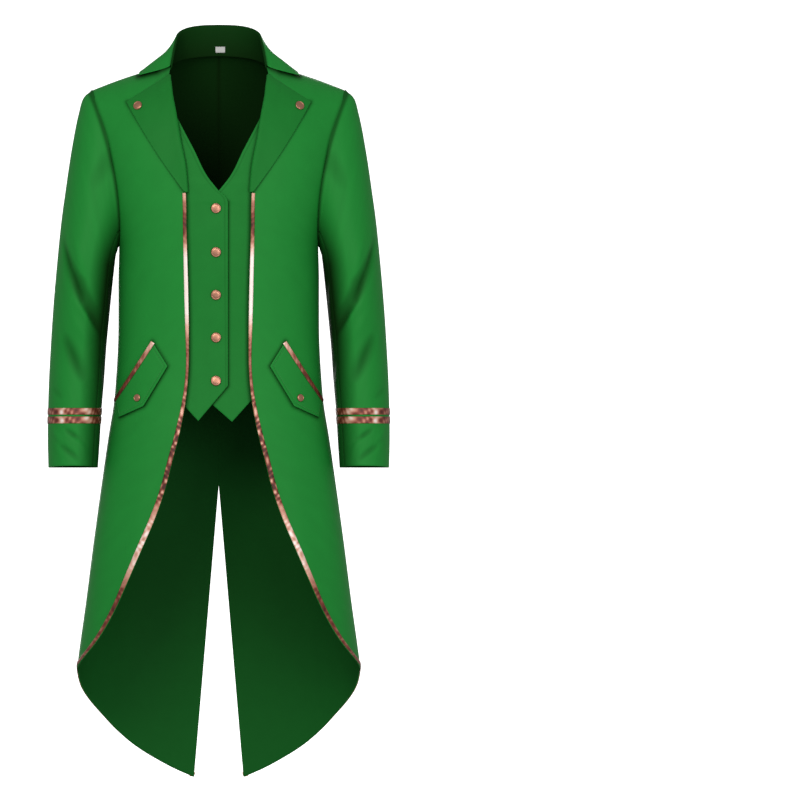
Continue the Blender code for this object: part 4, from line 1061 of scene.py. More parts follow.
@dataclass(frozen=True)
class FoilBraid:
    """Woven braid with a skin of crinkled metal foil.

    Args:
        stops: places from 0 to 1, and the foil's colours there from its darkest to its brightest.
        wrinkle: length of one wrinkle along the braid, in metres.
        speck: how far the finest specks move the place between the stops.
        metallic: share of the light that the foil reflects as metal.
        roughness: roughness of the foil.
    """

    stops: tuple[tuple[float, str], ...]
    wrinkle: float
    speck: float
    metallic: float
    roughness: float

    def build(self, name: str) -> Material:
        """Makes the material: foil colours picked by the mesh's painted reflections, its bright flats and
        dark crinkles, with fine bumps across it.
        """
        shader = Shader(name)
        drawn = shader.node("ShaderNodeMapping", {"Vector": shader.weave(), "Scale": (0.45, 1.0, 1.0)})
        fine = shader.noise(drawn.outputs[0], 1 / self.wrinkle, 3.0)
        speck = shader.between(fine, -self.speck, self.speck)
        level = shader.node("ShaderNodeMath", {0: shader.shade(), 1: speck}, operation="ADD").outputs[0]
        ramp = shader.node("ShaderNodeValToRGB", {"Fac": level})
        elements = ramp.color_ramp.elements
        while len(elements) < len(self.stops):
            elements.new(0.5)
        for element, (place, colour) in zip(elements, self.stops):
            element.position = place
            element.color = linear(colour)
        shader.set(base_color=ramp.outputs["Color"], normal=shader.bump(fine, 0.2, 0.0006),
                   metallic=self.metallic, roughness=self.roughness)
        return shader.material


@dataclass(frozen=True)
class PlatedMetal:
    """Die-cast button metal, plated and tumbled to a soft polish."""

    colour: str
    roughness: float = 0.38

    def build(self, name: str) -> Material:
        """Makes the material: even plate with faint tumbling marks."""
        shader = Shader(name)
        place = shader.node("ShaderNodeTexCoord").outputs["Object"]
        bump = shader.bump(shader.noise(place, 700.0, 2.0), 0.03, 0.0003)
        shader.set(base_color=linear(self.colour), normal=bump, metallic=1.0, roughness=self.roughness)
        return shader.material


@dataclass(frozen=True)
class PlainTextile:
    """Plain thread or satin with one colour."""

    colour: str
    roughness: float
    sheen: float

    def build(self, name: str) -> Material:
        """Makes the material."""
        shader = Shader(name)
        shader.set(base_color=linear(self.colour), roughness=self.roughness, sheen_weight=self.sheen)
        return shader.material


# Foil colours from darkest to brightest, between which the painted reflections pick
ROSE_STOPS = ((0.0, "#3c0f0a"), (0.3, "#7d3c2c"), (0.5, "#b27763"), (0.72, "#d9a894"), (1.0, "#f7e6df"))
COPPER_STOPS = ((0.0, "#2c0a06"), (0.35, "#742a17"), (0.6, "#9c4c2d"), (0.8, "#b86a48"), (1.0, "#dba084"))


def make_finishes() -> dict[Finish, Material]:
    """Every material of the coat, by its finish."""
    recipes = {
        Finish.SUITING: Suiting(),
        Finish.WAISTCOAT: Suiting(),
        Finish.THREAD: PlainTextile("#1b6b27", 0.5, 0.2),
        Finish.ROSE_BRAID: FoilBraid(ROSE_STOPS, 0.004, 0.09, 0.35, 0.48),
        Finish.COPPER_BRAID: FoilBraid(COPPER_STOPS, 0.004, 0.07, 0.3, 0.5),
        Finish.ROSE_METAL: PlatedMetal("#b27f69"),
        Finish.COPPER_METAL: PlatedMetal("#b4553a"),
        Finish.SATIN: PlainTextile("#b4b6b4", 0.6, 0.1),
    }
    return {finish: recipe.build(finish.value[0]) for finish, recipe in recipes.items()}


class Cut(NamedTuple):
    """Flat size of a cut piece in metres, its area in square metres, and how it is held."""

    width: float
    length: float
    area: float
    held: Held


CUTS = {
    "coat_front": Cut(0.20, 1.13, 0.163, Held.HUNG),
    "coat_back": Cut(0.30, 1.20, 0.25, Held.HUNG),
    "sleeve_upper": Cut(0.29, 0.63, 0.14, Held.HUNG),
    "sleeve_under": Cut(0.12, 0.43, 0.035, Held.HUNG),
    "lapel": Cut(0.10, 0.215, 0.0132, Held.LAID),
    "waistcoat_front": Cut(0.16, 0.565, 0.0463, Held.HUNG),
    "pocket_flap": Cut(0.13, 0.057, 0.006, Held.LAID),
    "back_belt": Cut(0.177, 0.043, 0.0076, Held.LAID),
    "collar": Cut(0.40, 0.103, 0.0307, Held.FOLDED),
}


@dataclass
class Piece:
    """A made piece: what shows, its finish, the solid that it stands for and its flat cut."""

    shown: bpy.types.Object
    finish: Finish
    node: Optional[str]
    cut: Optional[Cut]


@dataclass
class SubAssembly:
    """What the sub-assemblies share: the coat's form, and the pieces that each has made."""

    coat: CoatForm
    pieces: list[Piece] = field(default_factory=list)

    def build(self) -> None:
        """Makes the sub-assembly's objects."""
        raise NotImplementedError

    def add(self, name: str, part: MeshParts, finish: Finish, node: Optional[str] = None,
            cut: Optional[str] = None) -> None:
        """Makes one object.

        Args:
            name: the object's name.
            part: its mesh.
            finish: its finish.
            node: the solid that it replaces.
            cut: its row in the table of cuts.
        """
        self.pieces.append(Piece(add_object(name, part), finish, node, CUTS.get(cut)))

    def add_cloth(self, base: str, side: Side, cloth: Cloth, inner: float, outer: float,
                  finish: Finish = Finish.SUITING) -> None:
        """Makes one side's cut piece from the left one's cloth."""
        node = f"{base}_{side.letter}"
        log_size(node, cloth)
        self.add(f"{node}_cloth", mirrored(shell(cloth, inner, outer), side), finish, node, base)

    def on_body(self, angle: Array, height: Array) -> Cloth:
        """Cloth that lies on the body surface at angles and heights, with the body's relief."""
        cloth = Cloth(self.coat.body(angle, height), self.coat.body_normal(angle, height))
        cloth.raised += self.coat.relief(cloth.points)
        return cloth

    def dress(self, finishes: dict[Finish, Material]) -> None:
        """Gives each piece its material, and hides the solid that it stands for."""
        for piece in self.pieces:
            piece.shown.data.materials.append(finishes[piece.finish])
            if piece.node:
                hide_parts(piece.node)


def log_size(node: str, cloth: Cloth) -> None:
    """Logs a cut piece's longest row, its longest column and its area, all along its surface."""
    LOG.info("%s measures %.3f by %.3f m, %.4f m2", node, *cloth.lengths())


def distance_from(points: Array, line: Sequence[Pair]) -> Array:
    """Distance of each point from a line, as both are seen from the front.

    Args:
        points: points of a surface.
        line: distance from the centre and height of each corner of the line.
    """
    place = points[..., [0, 2]]
    nearest = np.full(place.shape[:-1], np.inf)
    for start, end in zip(np.array(line[:-1], float), np.array(line[1:], float)):
        run = end - start
        along = np.clip((place - start) @ run / (run @ run), 0, 1)
        nearest = np.minimum(nearest, np.linalg.norm(place - start - along[..., None] * run, axis=-1))
    return nearest


def crinkle(cloth: Cloth, level: Array, grain: Array) -> None:
    """Paints a foil strip's reflections: their brightness level, and short uneven bright and dark crinkles
    across it.

    Args:
        cloth: the strip, whose shade is set from 0 for the darkest foil to 1 for the brightest.
        level: the painted brightness without crinkles.
        grain: how much the painted bright and dark crinkles add or take away.
    """
    along, across = cloth.from_edge(Edge.FIRST_ROW), cloth.from_edge(Edge.FIRST_COLUMN)
    if cloth.closed:
        along, across = across, along
    wave = np.sin(along / 1.9 + 2.2 * np.sin(along / 6.7) + 0.5 * across)
    wave = wave + np.sin(along / 4.3 + 1.7 * np.sin(along / 13.0) - 0.4 * across)
    cloth.shade[:] = np.clip(level + grain * wave, 0.02, 1)


def strip_beside(owner: SubAssembly, angle: Array, height: Array, width: float) -> Cloth:
    """Strip of braid to the inner side of a path on the body surface, bowed a little.

    Args:
        owner: the sub-assembly that knows the body surface.
        angle: angle round the body, a row for each place on the path and a column across the strip.
        height: the same for the height.
        width: the strip's width.

    Returns:
        The strip as cloth that follows the body's relief.
    """
    coat, step = owner.coat, 0.5
    share = np.linspace(0, 1, angle.shape[1])[None, :]
    along_angle = (coat.body(angle + step, height) - coat.body(angle - step, height)) / (2 * step)
    along_height = (coat.body(angle, height + step) - coat.body(angle, height - step)) / (2 * step)
    run = unit(np.gradient(coat.body(angle, height), axis=0))
    square = np.cross(coat.body_normal(angle, height), run) * width
    sides = np.stack([along_angle, along_height], axis=-1)
    flipped = np.swapaxes(sides, -1, -2)
    moves = np.linalg.solve(flipped @ sides, flipped @ square[..., None])[..., 0]
    cloth = owner.on_body(angle + moves[..., 0] * share, height + moves[..., 1] * share)
    cloth.raised += BRAID_BOW * (1 - (2 * share - 1) ** 2)
    return cloth


WAISTCOAT_BUTTON_HEIGHTS = (-232, -304, -374, -443, -513)
BUTTON_PROFILE = ((0.0, 0.84), (0.35, 0.82), (0.62, 0.76), (0.74, 0.7), (0.82, 0.78), (0.92, 0.72),
                  (1.0, 0.48), (0.97, 0.2), (0.86, 0.02), (0.4, 0.0), (0.0, 0.0))

# The lapel's peak, by its distance from the centre and its height, and the height where its roll begins
LAPEL_PEAK = (149.5, -59.0)
LAPEL_TOP = -15.0
# Below this height the centre-back seam gets no painted shade on the inside
INNER_SEAM_FOOT = -500.0
# Line of the painted shadow that the collar's leaf casts on the fronts and the lapels, from the neck outwards
LEAF_SHADOW = ((78.0, 3.0), (88.0, -4.0), (102.0, -10.0), (131.0, -16.5))
# Corners of a pocket flap, as seen from the front
FLAP_CORNERS = {
    "top_front": (108.6, -449.0),
    "low_front": (83.3, -490.0),
    "point": (121.7, -555.0),
    "low_back": (160.0, -573.0),
    "top_back": (166.4, -543.0),
}
# Painted shade on the coat's inside: how bright its colour is, by height
HOLLOW_SHADE = Curve(np.array([-1200.0, -1000, -850, -700, -590, -450, 100]),
                     np.array([0.46, 0.36, 0.26, 0.28, 0.24, 0.08, 0.06]))


@dataclass
class CoatBody(SubAssembly):
    """The two fronts and the two backs, from shoulder to hem."""

    front_columns: int = 64
    back_columns: int = 70
    yoke_rows: int = 44
    chest_rows: int = 40
    skirt_rows: int = 170
    neck_share: float = 0.4
    seam_share: float = 0.001
    smoothing: int = 160
    smoothing_weight: float = 0.5
    smoothing_spread: float = 0.16
    fade_in_rows: int = 12
    fade_out_end: float = 1.6
    fade_out_span: float = 0.9
    lapel_shadow: Dip = Dip(0.62, 4.0)
    leaf_shadow: Dip = Dip(0.9, 5.6)
    flap_shadow: Dip = Dip(0.75, 3.6)
    seam_half_width: float = 4.5
    seam_depths: Pair = (1.3, 0.5)
    seam_shadows: Pair = (0.6, 0.3)
    inner_seam: Dip = Dip(0.9, 1.8)
    inner_neck: Dip = Dip(0.9, 2.5)
    neck_shadow: float = 0.95

    def rows(self, yoke, chest, skirt) -> Array:
        """Points of a panel from its three stretches, each given as a function of its rows."""
        upper = np.linspace(0, 90, self.yoke_rows, endpoint=False)[:, None]
        lower = np.linspace(90, 180, self.chest_rows, endpoint=False)[:, None]
        share = np.linspace(0, 1, self.skirt_rows)[:, None]
        return np.concatenate([yoke(1 - upper / 90), chest(lower), self.coat.body(*skirt(share))])

    def front(self) -> Cloth:
        """The left front."""
        across = np.linspace(0, 1, self.front_columns)[None, :]

        def chest(angle: Array) -> Array:
            out, _, height = np.moveaxis(self.coat.armhole.point(angle), -1, 0)
            edge = self.coat.angle_at(self.coat.edge_curve(height), height, False)
            seam = self.coat.angle_at(out, height, False)
            return self.coat.body(edge + across * (seam - edge), height)

        points = self.rows(
            lambda rise: self.coat.front_yoke(across, rise), chest,
            lambda share: self.coat.front_skirt(across, share),
        )
        cloth = Cloth.facing_away(points, np.array([0, 0, self.coat.chest]))
        cloth.normals[0, :, 1] = 0
        cloth.normals[0] = unit(cloth.normals[0])
        lapel_edge = (LAPEL_PEAK, (self.coat.edge_curve(self.coat.lapel_break), self.coat.lapel_break))
        flap_edge = [FLAP_CORNERS[name] for name in ("top_front", "low_front", "point", "low_back")]
        # Painted shadows beside the lapel's edge, under the collar's leaf and under the pocket flap
        cloth.darken(distance_from(points, lapel_edge), self.lapel_shadow)
        cloth.darken(distance_from(points, LEAF_SHADOW), self.leaf_shadow)
        cloth.darken(distance_from(points, flap_edge), self.flap_shadow)
        return cloth

    def back(self) -> Cloth:
        """The left back, smoothed below the neck where its seam turns into the shoulder's."""
        across = np.append([0, self.seam_share], np.linspace(0, 1, self.back_columns)[1:])[None, :]

        def chest(angle: Array) -> Array:
            out, _, height = np.moveaxis(self.coat.armhole.point(angle), -1, 0)
            return self.coat.body(180 + across * (self.coat.angle_at(out, height, True) - 180), height)

        points = self.rows(
            lambda rise: self.coat.back_yoke(across, rise, self.neck_share), chest,
            lambda share: self.coat.back_skirt(across, share),
        )
        row = np.arange(len(points))
        fade_in = np.clip((row - 1) / self.fade_in_rows, 0, 1)
        fade_out = np.clip((self.fade_out_end - row / self.yoke_rows) / self.fade_out_span, 0, 1) ** 2
        by_neck = bell(across[0] - self.neck_share, self.smoothing_spread)
        weight = (self.smoothing_weight * (fade_in * fade_out)[:, None] * by_neck)[:, 1:-1, None]
        for _ in range(self.smoothing):
            points[:, 1:-1] += weight * ((points[:, :-2] + points[:, 2:]) / 2 - points[:, 1:-1])
        cloth = Cloth.facing_away(points, np.array([0, 0, self.coat.chest]))
        cloth.normals[0, across[0] >= self.neck_share, 1] = 0
        cloth.normals[points[:, 0, 2] > self.coat.vent_top, 0, 0] = 0
        cloth.normals = unit(cloth.normals)
        return cloth

    def build(self) -> None:
        """Makes the four panels, with their seams sunk in and painted shade along them and on their inside.
        """
        front, back = self.front(), self.back()
        skirt = slice(-self.skirt_rows, None)
        shared = unit(front.normals[skirt, -1] + back.normals[skirt, -1])
        front.normals[skirt, -1] = shared
        back.normals[skirt, -1] = shared
        for cloth in (front, back):
            cloth.raised += self.coat.relief(cloth.points)
            above = cloth.points[..., 2] > self.coat.armhole.underarm[1]
            by_seam = bell(cloth.from_edge(Edge.LAST_COLUMN), self.seam_half_width)
            cloth.raised -= np.where(above, *self.seam_depths) * by_seam
            # Painted shade along the armhole and side seams, and painted shade inside by height
            cloth.shade *= 1 - np.where(above, *self.seam_shadows) * by_seam
            cloth.inner_shade = HOLLOW_SHADE(cloth.points[..., 2])
        # Painted shade along the centre-back seam inside, and along the neck seam inside and out
        shown = back.points[..., 2] > INNER_SEAM_FOOT
        seam = bell(back.points[..., 0], self.inner_seam.half_width) * shown
        at_neck = bell(back.from_edge(Edge.FIRST_ROW), self.inner_neck.half_width)
        at_neck[:, int(self.neck_share * self.back_columns) + 1:] = 0
        back.inner_shade *= (1 - self.inner_seam.amount * seam) * (1 - self.inner_neck.amount * at_neck)
        back.shade *= 1 - self.neck_shadow * at_neck
        for side in Side:
            self.add_cloth("coat_front", side, front, -HALF_WALL, HALF_WALL)
            self.add_cloth("coat_back", side, back, -HALF_WALL, HALF_WALL)


@dataclass
class Sleeves(SubAssembly):
    """Two two-piece sleeves with their bands of braid."""

    form: SleeveForm = SleeveForm()
    under_columns: int = 40
    upper_columns: int = 106
    cap_rows: int = 70
    arm_rows: int = 130
    start_share: float = 0.004
    join_share: float = 0.08
    allowance: float = 6.0
    allowance_rows: int = 4
    band_heights: tuple[Pair, ...] = ((-558.5, -569.0), (-572.5, -583.5))
    band_rows: int = 9
    band_bow: float = 0.15
    smoothing: int = 60
    smoothing_weight: float = 0.6
    smoothing_rows: float = 14.0
    armhole_groove: Dip = Dip(0.9, 4.0)
    armhole_shadow: Dip = Dip(0.65, 3.5)
    seam_groove: Dip = Dip(0.8, 1.8)
    seam_shadow: Dip = Dip(0.45, 1.8)
    fold_shadow: float = 0.24
    fold_shadow_start: float = 0.5
    side_shadows: Pair = (0.95, 0.6)

    def ring_angles(self) -> Array:
        """Angles once round the sleeve, from the fore seam over the hind seam."""
        fore, hind = self.form.fore_seam, self.form.hind_seam
        under = np.linspace(fore, hind, self.under_columns, endpoint=False)
        upper = np.linspace(hind, fore + 360, self.upper_columns, endpoint=False)
        return np.concatenate([under, upper])

    def whole(self) -> Cloth:
        """The left sleeve as one closed grid, smoothed where its cap turns level."""
        angle = self.ring_angles()[None, :]
        share = np.linspace(self.start_share, 1, self.cap_rows, endpoint=False)[:, None]
        cap = self.form.cap(angle, share)
        to_seam = self.form.armhole.point(angle) - self.form.cap(angle, np.zeros(1))
        cap = cap + to_seam * np.clip(1 - share / self.join_share, 0, 1)[..., None]
        turned_in = np.linspace(self.allowance, 0, self.allowance_rows, endpoint=False)[:, None, None]
        inwards = unit(cap[0] - cap[3]) * turned_in
        height = np.linspace(self.form.top, self.form.cuff, self.arm_rows)[:, None]
        points = np.concatenate([cap[0] + inwards, cap, self.form.section(angle, height)])
        rows = np.arange(len(points))
        near = bell(rows - self.allowance_rows - self.cap_rows, self.smoothing_rows)[1:-1, None, None]
        for _ in range(self.smoothing):
            middle = (points[:-2] + points[2:]) / 2
            points[1:-1] += self.smoothing_weight * near * (middle - points[1:-1])
        cloth = Cloth.facing_away(points, points.mean(axis=1, keepdims=True), closed=True)
        cloth.raised += self.form.creases(angle, points[..., 2])
        from_seam = np.maximum(cloth.from_edge(Edge.FIRST_ROW) - self.allowance, 0)
        cloth.lower(from_seam, self.armhole_groove)
        # Painted shade along the armhole seam
        cloth.darken(from_seam, self.armhole_shadow)
        # Painted shade in the troughs of the folds
        sunk = folded(SLEEVE_FOLDS + SLEEVE_CREASES, angle, points[..., 2], self.form.fold_reach)
        cloth.shade *= np.exp(-self.fold_shadow * np.maximum(sunk - self.fold_shadow_start, 0))
        # Painted shade on the side towards the body, stronger in front, from the underarm down and a little
        # less below the elbow
        towards_body = np.clip(-np.cos(np.radians(angle)) - 0.15, 0, 0.6) / 0.6
        front = np.where(np.sin(np.radians(angle)) > 0, *self.side_shadows)
        below = np.clip((self.form.armhole.underarm[1] + 90 - points[..., 2]) / 120, 0, 1)
        below *= 1 - 0.3 * np.clip((-430 - points[..., 2]) / 130, 0, 1)
        cloth.shade *= 1 - front * towards_body * below
        # Painted shade on the inner face
        cloth.inner_shade[:] = 0.04
        return cloth

    def part_of(self, whole: Cloth, columns: Array) -> Cloth:
        """A cut piece of the sleeve: some columns of the closed grid, with seams at both sides."""
        piece = Cloth(whole.points[:, columns], whole.normals[:, columns])
        piece.raised += whole.raised[:, columns]
        piece.shade *= whole.shade[:, columns]
        piece.inner_shade *= whole.inner_shade[:, columns]
        # Seams sunk in, with painted shade along them
        for edge in (Edge.FIRST_COLUMN, Edge.LAST_COLUMN):
            piece.lower(piece.from_edge(edge), self.seam_groove)
            piece.darken(piece.from_edge(edge), self.seam_shadow)
        return piece

    def band(self, top: float, bottom: float) -> Cloth:
        """Closed band of braid round the sleeve, with two painted highlights before and two behind."""
        angle = self.ring_angles()[None, :]
        height = np.linspace(top, bottom, self.band_rows)[:, None]
        points, normals = self.form.surface(angle, height)
        cloth = Cloth(points, normals, closed=True)
        bow = 1 - np.linspace(-1, 1, self.band_rows)[:, None] ** 2
        cloth.raised += self.band_bow * bow
        from_outer = np.abs((angle + 180) % 360 - 180)
        # Painted highlights on the foil, at these angles from the sleeve's outer side
        bright = bell(from_outer - 62, 8) + 0.8 * bell(from_outer - 118, 10)
        crinkle(cloth, 0.28 + 0.55 * bright, np.array(0.12))
        return cloth

    def build(self) -> None:
        """Makes both sleeves from the left one."""
        whole = self.whole()
        count = self.under_columns
        total = count + self.upper_columns
        under = self.part_of(whole, np.arange(count + 1))
        upper = self.part_of(whole, np.arange(count, total + 1) % total)
        base = HALF_WALL + 0.1
        for side in Side:
            self.add_cloth("sleeve_under", side, under, -HALF_WALL, HALF_WALL)
            self.add_cloth("sleeve_upper", side, upper, -HALF_WALL, HALF_WALL)
            for number, (top, bottom) in enumerate(self.band_heights, 1):
                node = f"cuff_band_{number}_{side.letter}"
                part = shell(self.band(top, bottom), base, base + BAND_WALL)
                self.add(f"{node}_foil", mirrored(part, side), Finish.ROSE_BRAID, node)


@dataclass
class Lapels(SubAssembly):
    """Peaked lapels, rolled round the front's edge and turned back over it."""

    rows: int = 110
    roll_columns: int = 14
    facing: float = 9.0
    face_columns: int = 44
    belly: float = 2.5
    foot_out: float = 3.0
    foot_rise: float = 4.0
    edge_lift: float = 1.0
    roll_lift: Dip = Dip(1.6, 9.0)
    notch_sink: Dip = Dip(1.3, 7.0)
    notch_reach: float = 150.0
    roll_turns: Pair = (-90.0, 78.0)
    roll_stretch: float = 1.1
    leaf_shadow: Dip = Dip(0.7, 7.0)
    face_shades: Pair = (0.3, 0.76)

    def cloth(self) -> Cloth:
        """The left lapel: a strip of facing inside, the roll, then the face as far as its outer edge."""
        down = np.linspace(0, 1, self.rows)[:, None]
        across = np.linspace(0, 1, self.face_columns)[None, :]
        low = self.coat.lapel_break
        roll_height = LAPEL_TOP + down * (low + 2 - LAPEL_TOP)
        foot = self.coat.edge_curve(low) + self.foot_out
        belly = self.belly * np.sin(np.pi * down)
        outer_out = LAPEL_PEAK[0] + down * (foot - LAPEL_PEAK[0]) + belly
        outer_height = LAPEL_PEAK[1] + down * (low + self.foot_rise - LAPEL_PEAK[1]) - belly
        roll_out = self.coat.edge_curve(roll_height)
        out = roll_out + across * (outer_out - roll_out)
        height = roll_height + across * (outer_height - roll_height)
        face = self.coat.front_at(out, height)
        normals = self.coat.front_normal(out, height)
        reach = HALF_WALL + LAYER_GAP + HALF_WALL
        width = np.linalg.norm(face[:, -1:] - face[:, :1], axis=-1)
        by_roll = bell(across * width, self.roll_lift.half_width)
        lift = self.edge_lift * across**3 + self.roll_lift.amount * by_roll * (1 - 0.5 * down)
        from_notch = (down + 0 * across) * self.notch_reach
        lift = lift - self.notch_sink.amount * bell(from_notch, self.notch_sink.half_width)
        raised = face + normals * (reach + lift)[..., None]
        edge, edge_normal = face[:, 0], normals[:, 0]
        along = unit(self.coat.front_at(roll_out[:, 0] + 2, roll_height[:, 0]) - edge)
        turn = np.radians(np.linspace(*self.roll_turns, self.roll_columns))[None, :, None]
        radius = (reach + lift[:, 0])[:, None, None]
        outwards = self.roll_stretch * np.cos(turn) * along[:, None]
        roll = edge[:, None] + radius * (np.sin(turn) * edge_normal[:, None] - outwards)
        strip = np.linspace(self.facing, 1.5, 5)[None, :, None]
        inside = edge[:, None] - reach * edge_normal[:, None] + strip * along[:, None]
        points = np.concatenate([inside, roll, raised], axis=1)
        cloth = Cloth.facing_away(points, np.array([0, 0, self.coat.chest]))
        # Painted shade: the inner face, the facing strip and the roll's hidden underside darkest, the face
        # somewhat darker, then the collar leaf's painted shadow
        cloth.inner_shade[:] = 0.3
        hidden = np.arange(points.shape[1]) < inside.shape[1] + self.roll_columns // 3
        cloth.shade *= np.where(hidden, *self.face_shades)
        cloth.darken(distance_from(points, LEAF_SHADOW), self.leaf_shadow)
        return cloth

    def build(self) -> None:
        """Makes both lapels."""
        cloth = self.cloth()
        for side in Side:
            self.add_cloth("lapel", side, cloth, -HALF_WALL, HALF_WALL)


class WaistcoatRow(NamedTuple):
    """The waistcoat's V edge and its sewn-in side edge at a height."""

    height: float
    v_edge: float
    side_edge: float


# Height, V edge and side edge, from the V's foot up
WAISTCOAT_V = table(
    WaistcoatRow,
    (-204, 0, 92), (-180, 19, 96), (-137, 40.5, 104), (-77, 71.5, 116),
    (-40, 90, 122),
)


@dataclass
class Waistcoat(SubAssembly):
    """Mock waistcoat: two pointed fronts sewn into the coat's fronts, the right over the left."""

    cuts: tuple[WaistcoatCut, ...] = (
        WaistcoatCut(Side.RIGHT, 15.0, -521.0, 34.0, -578.0, 5.0),
        WaistcoatCut(Side.LEFT, 13.0, -549.0, 22.0, -579.0, 7.4),
    )
    corner: Curve = Curve(np.array([-222.0, -215, -209, -204]), np.array([1.0, 0.85, 0.5, 0.0]))
    corner_foot: float = -222.0
    span: float = 92.0
    point_slope: float = 1.07
    yoke_start: float = -190.0
    yoke_sink: float = 3.0
    upper_rows: int = 70
    lower_rows: int = 104
    fold_inset: float = 5.0
    fold_groove: Dip = Dip(0.35, 1.1)
    fold_shadow: Dip = Dip(0.22, 1.3)
    lap_shadow: Dip = Dip(0.85, 3.4)
    # Painted shade: the fronts are darkened, more where the coat's front edges cover them
    brightness: float = 0.83
    covered_loss: float = 0.55
    covered_fade: float = 7.0
    drag_half_width: float = 26.0
    drag_depth: float = 0.5
    slack: float = 0.35
    v_curve: Curve = Curve.of(WAISTCOAT_V, "height", "v_edge")
    side_curve: Curve = Curve.of(WAISTCOAT_V, "height", "side_edge")

    def sink(self, out: Array, height: Array, cut: WaistcoatCut) -> Array:
        """How far the outer face lies inside the coat's surface, deepest at the centre."""
        inward = np.clip(1 - (out / self.span) ** 2, 0, 1)
        upward = np.clip((height - self.yoke_start) / -self.yoke_start, 0, 1)
        return HALF_WALL + LAYER_GAP + cut.sink * inward + self.yoke_sink * np.sqrt(upward)

    def cloth(self, cut: WaistcoatCut) -> Cloth:
        """One front, as a left piece, from its hidden top to its point."""
        tip = (cut.tip_out + cut.lap) / (self.span + cut.lap)
        across = np.concatenate([np.linspace(0, tip, 30), np.linspace(tip, 1, 40)[1:]])[None, :]
        foot_out = -cut.lap + across * (self.span + cut.lap)
        rising = (foot_out + cut.lap) / (cut.tip_out + cut.lap)
        foot = np.where(
            foot_out < cut.tip_out,
            cut.lap_height + rising * (cut.tip_height - cut.lap_height),
            cut.tip_height + self.point_slope * (foot_out - cut.tip_out),
        )
        top = WAISTCOAT_V[-1].height
        upper = np.linspace(top, self.corner_foot, self.upper_rows)[:, None]
        above = upper > WAISTCOAT_V[0].height
        edge = np.where(above, self.v_curve(upper), -cut.lap * self.corner(upper))
        far = np.where(above, self.side_curve(upper), self.span)
        share = np.linspace(0, 1, self.lower_rows)[1:, None]
        out = np.concatenate([edge + across * (far - edge), foot_out + 0 * share])
        height = np.concatenate([upper + 0 * across, self.corner_foot + share * (foot - self.corner_foot)])
        cloth = Cloth(self.coat.front_at(out, height), self.coat.front_normal(out, height))
        cloth.raised -= self.sink(out, height, cut)
        cloth.raised += self.drag(out, height)
        # Painted shade on the inner face
        cloth.inner_shade[:] = 0.1
        from_fold = cloth.from_edge(Edge.FIRST_COLUMN) - self.fold_inset
        cloth.lower(from_fold, self.fold_groove)
        cloth.darken(from_fold, self.fold_shadow)
        front_edge = self.coat.edge_curve(np.minimum(height, 0))
        covered = np.clip((np.abs(out) - front_edge + self.covered_fade) / self.covered_fade, 0, 1)
        # Painted shade, deeper beneath the coat's front edge
        cloth.shade *= self.brightness - self.covered_loss * covered
        # Painted shadow beside the edge of the right front, where it laps over the left
        if cut.side is Side.LEFT:
            over = self.cuts[0]
            lap_line = [
                (over.lap, self.corner_foot), (over.lap, over.lap_height), (-over.tip_out, over.tip_height),
            ]
            cloth.darken(distance_from(cloth.points, lap_line), self.lap_shadow)
        return cloth

    def drag(self, out: Array, height: Array) -> Array:
        """Soft pull of the cloth from button to button, and its slack in between."""
        top, low = WAISTCOAT_BUTTON_HEIGHTS[0], WAISTCOAT_BUTTON_HEIGHTS[-1]
        pitch = (top - low) / (len(WAISTCOAT_BUTTON_HEIGHTS) - 1)
        phase = 2 * np.pi * (height - top) / pitch
        near = bell(out, self.drag_half_width) * (height < self.corner_foot)
        pulled = -self.drag_depth * near * (1 + np.cos(phase))
        return pulled + self.slack * np.sin(height / 23 + out / 17) * near

    def build(self) -> None:
        """Makes both fronts."""
        for cut in self.cuts:
            self.add_cloth("waistcoat_front", cut.side, self.cloth(cut), -WALL, 0, Finish.WAISTCOAT)


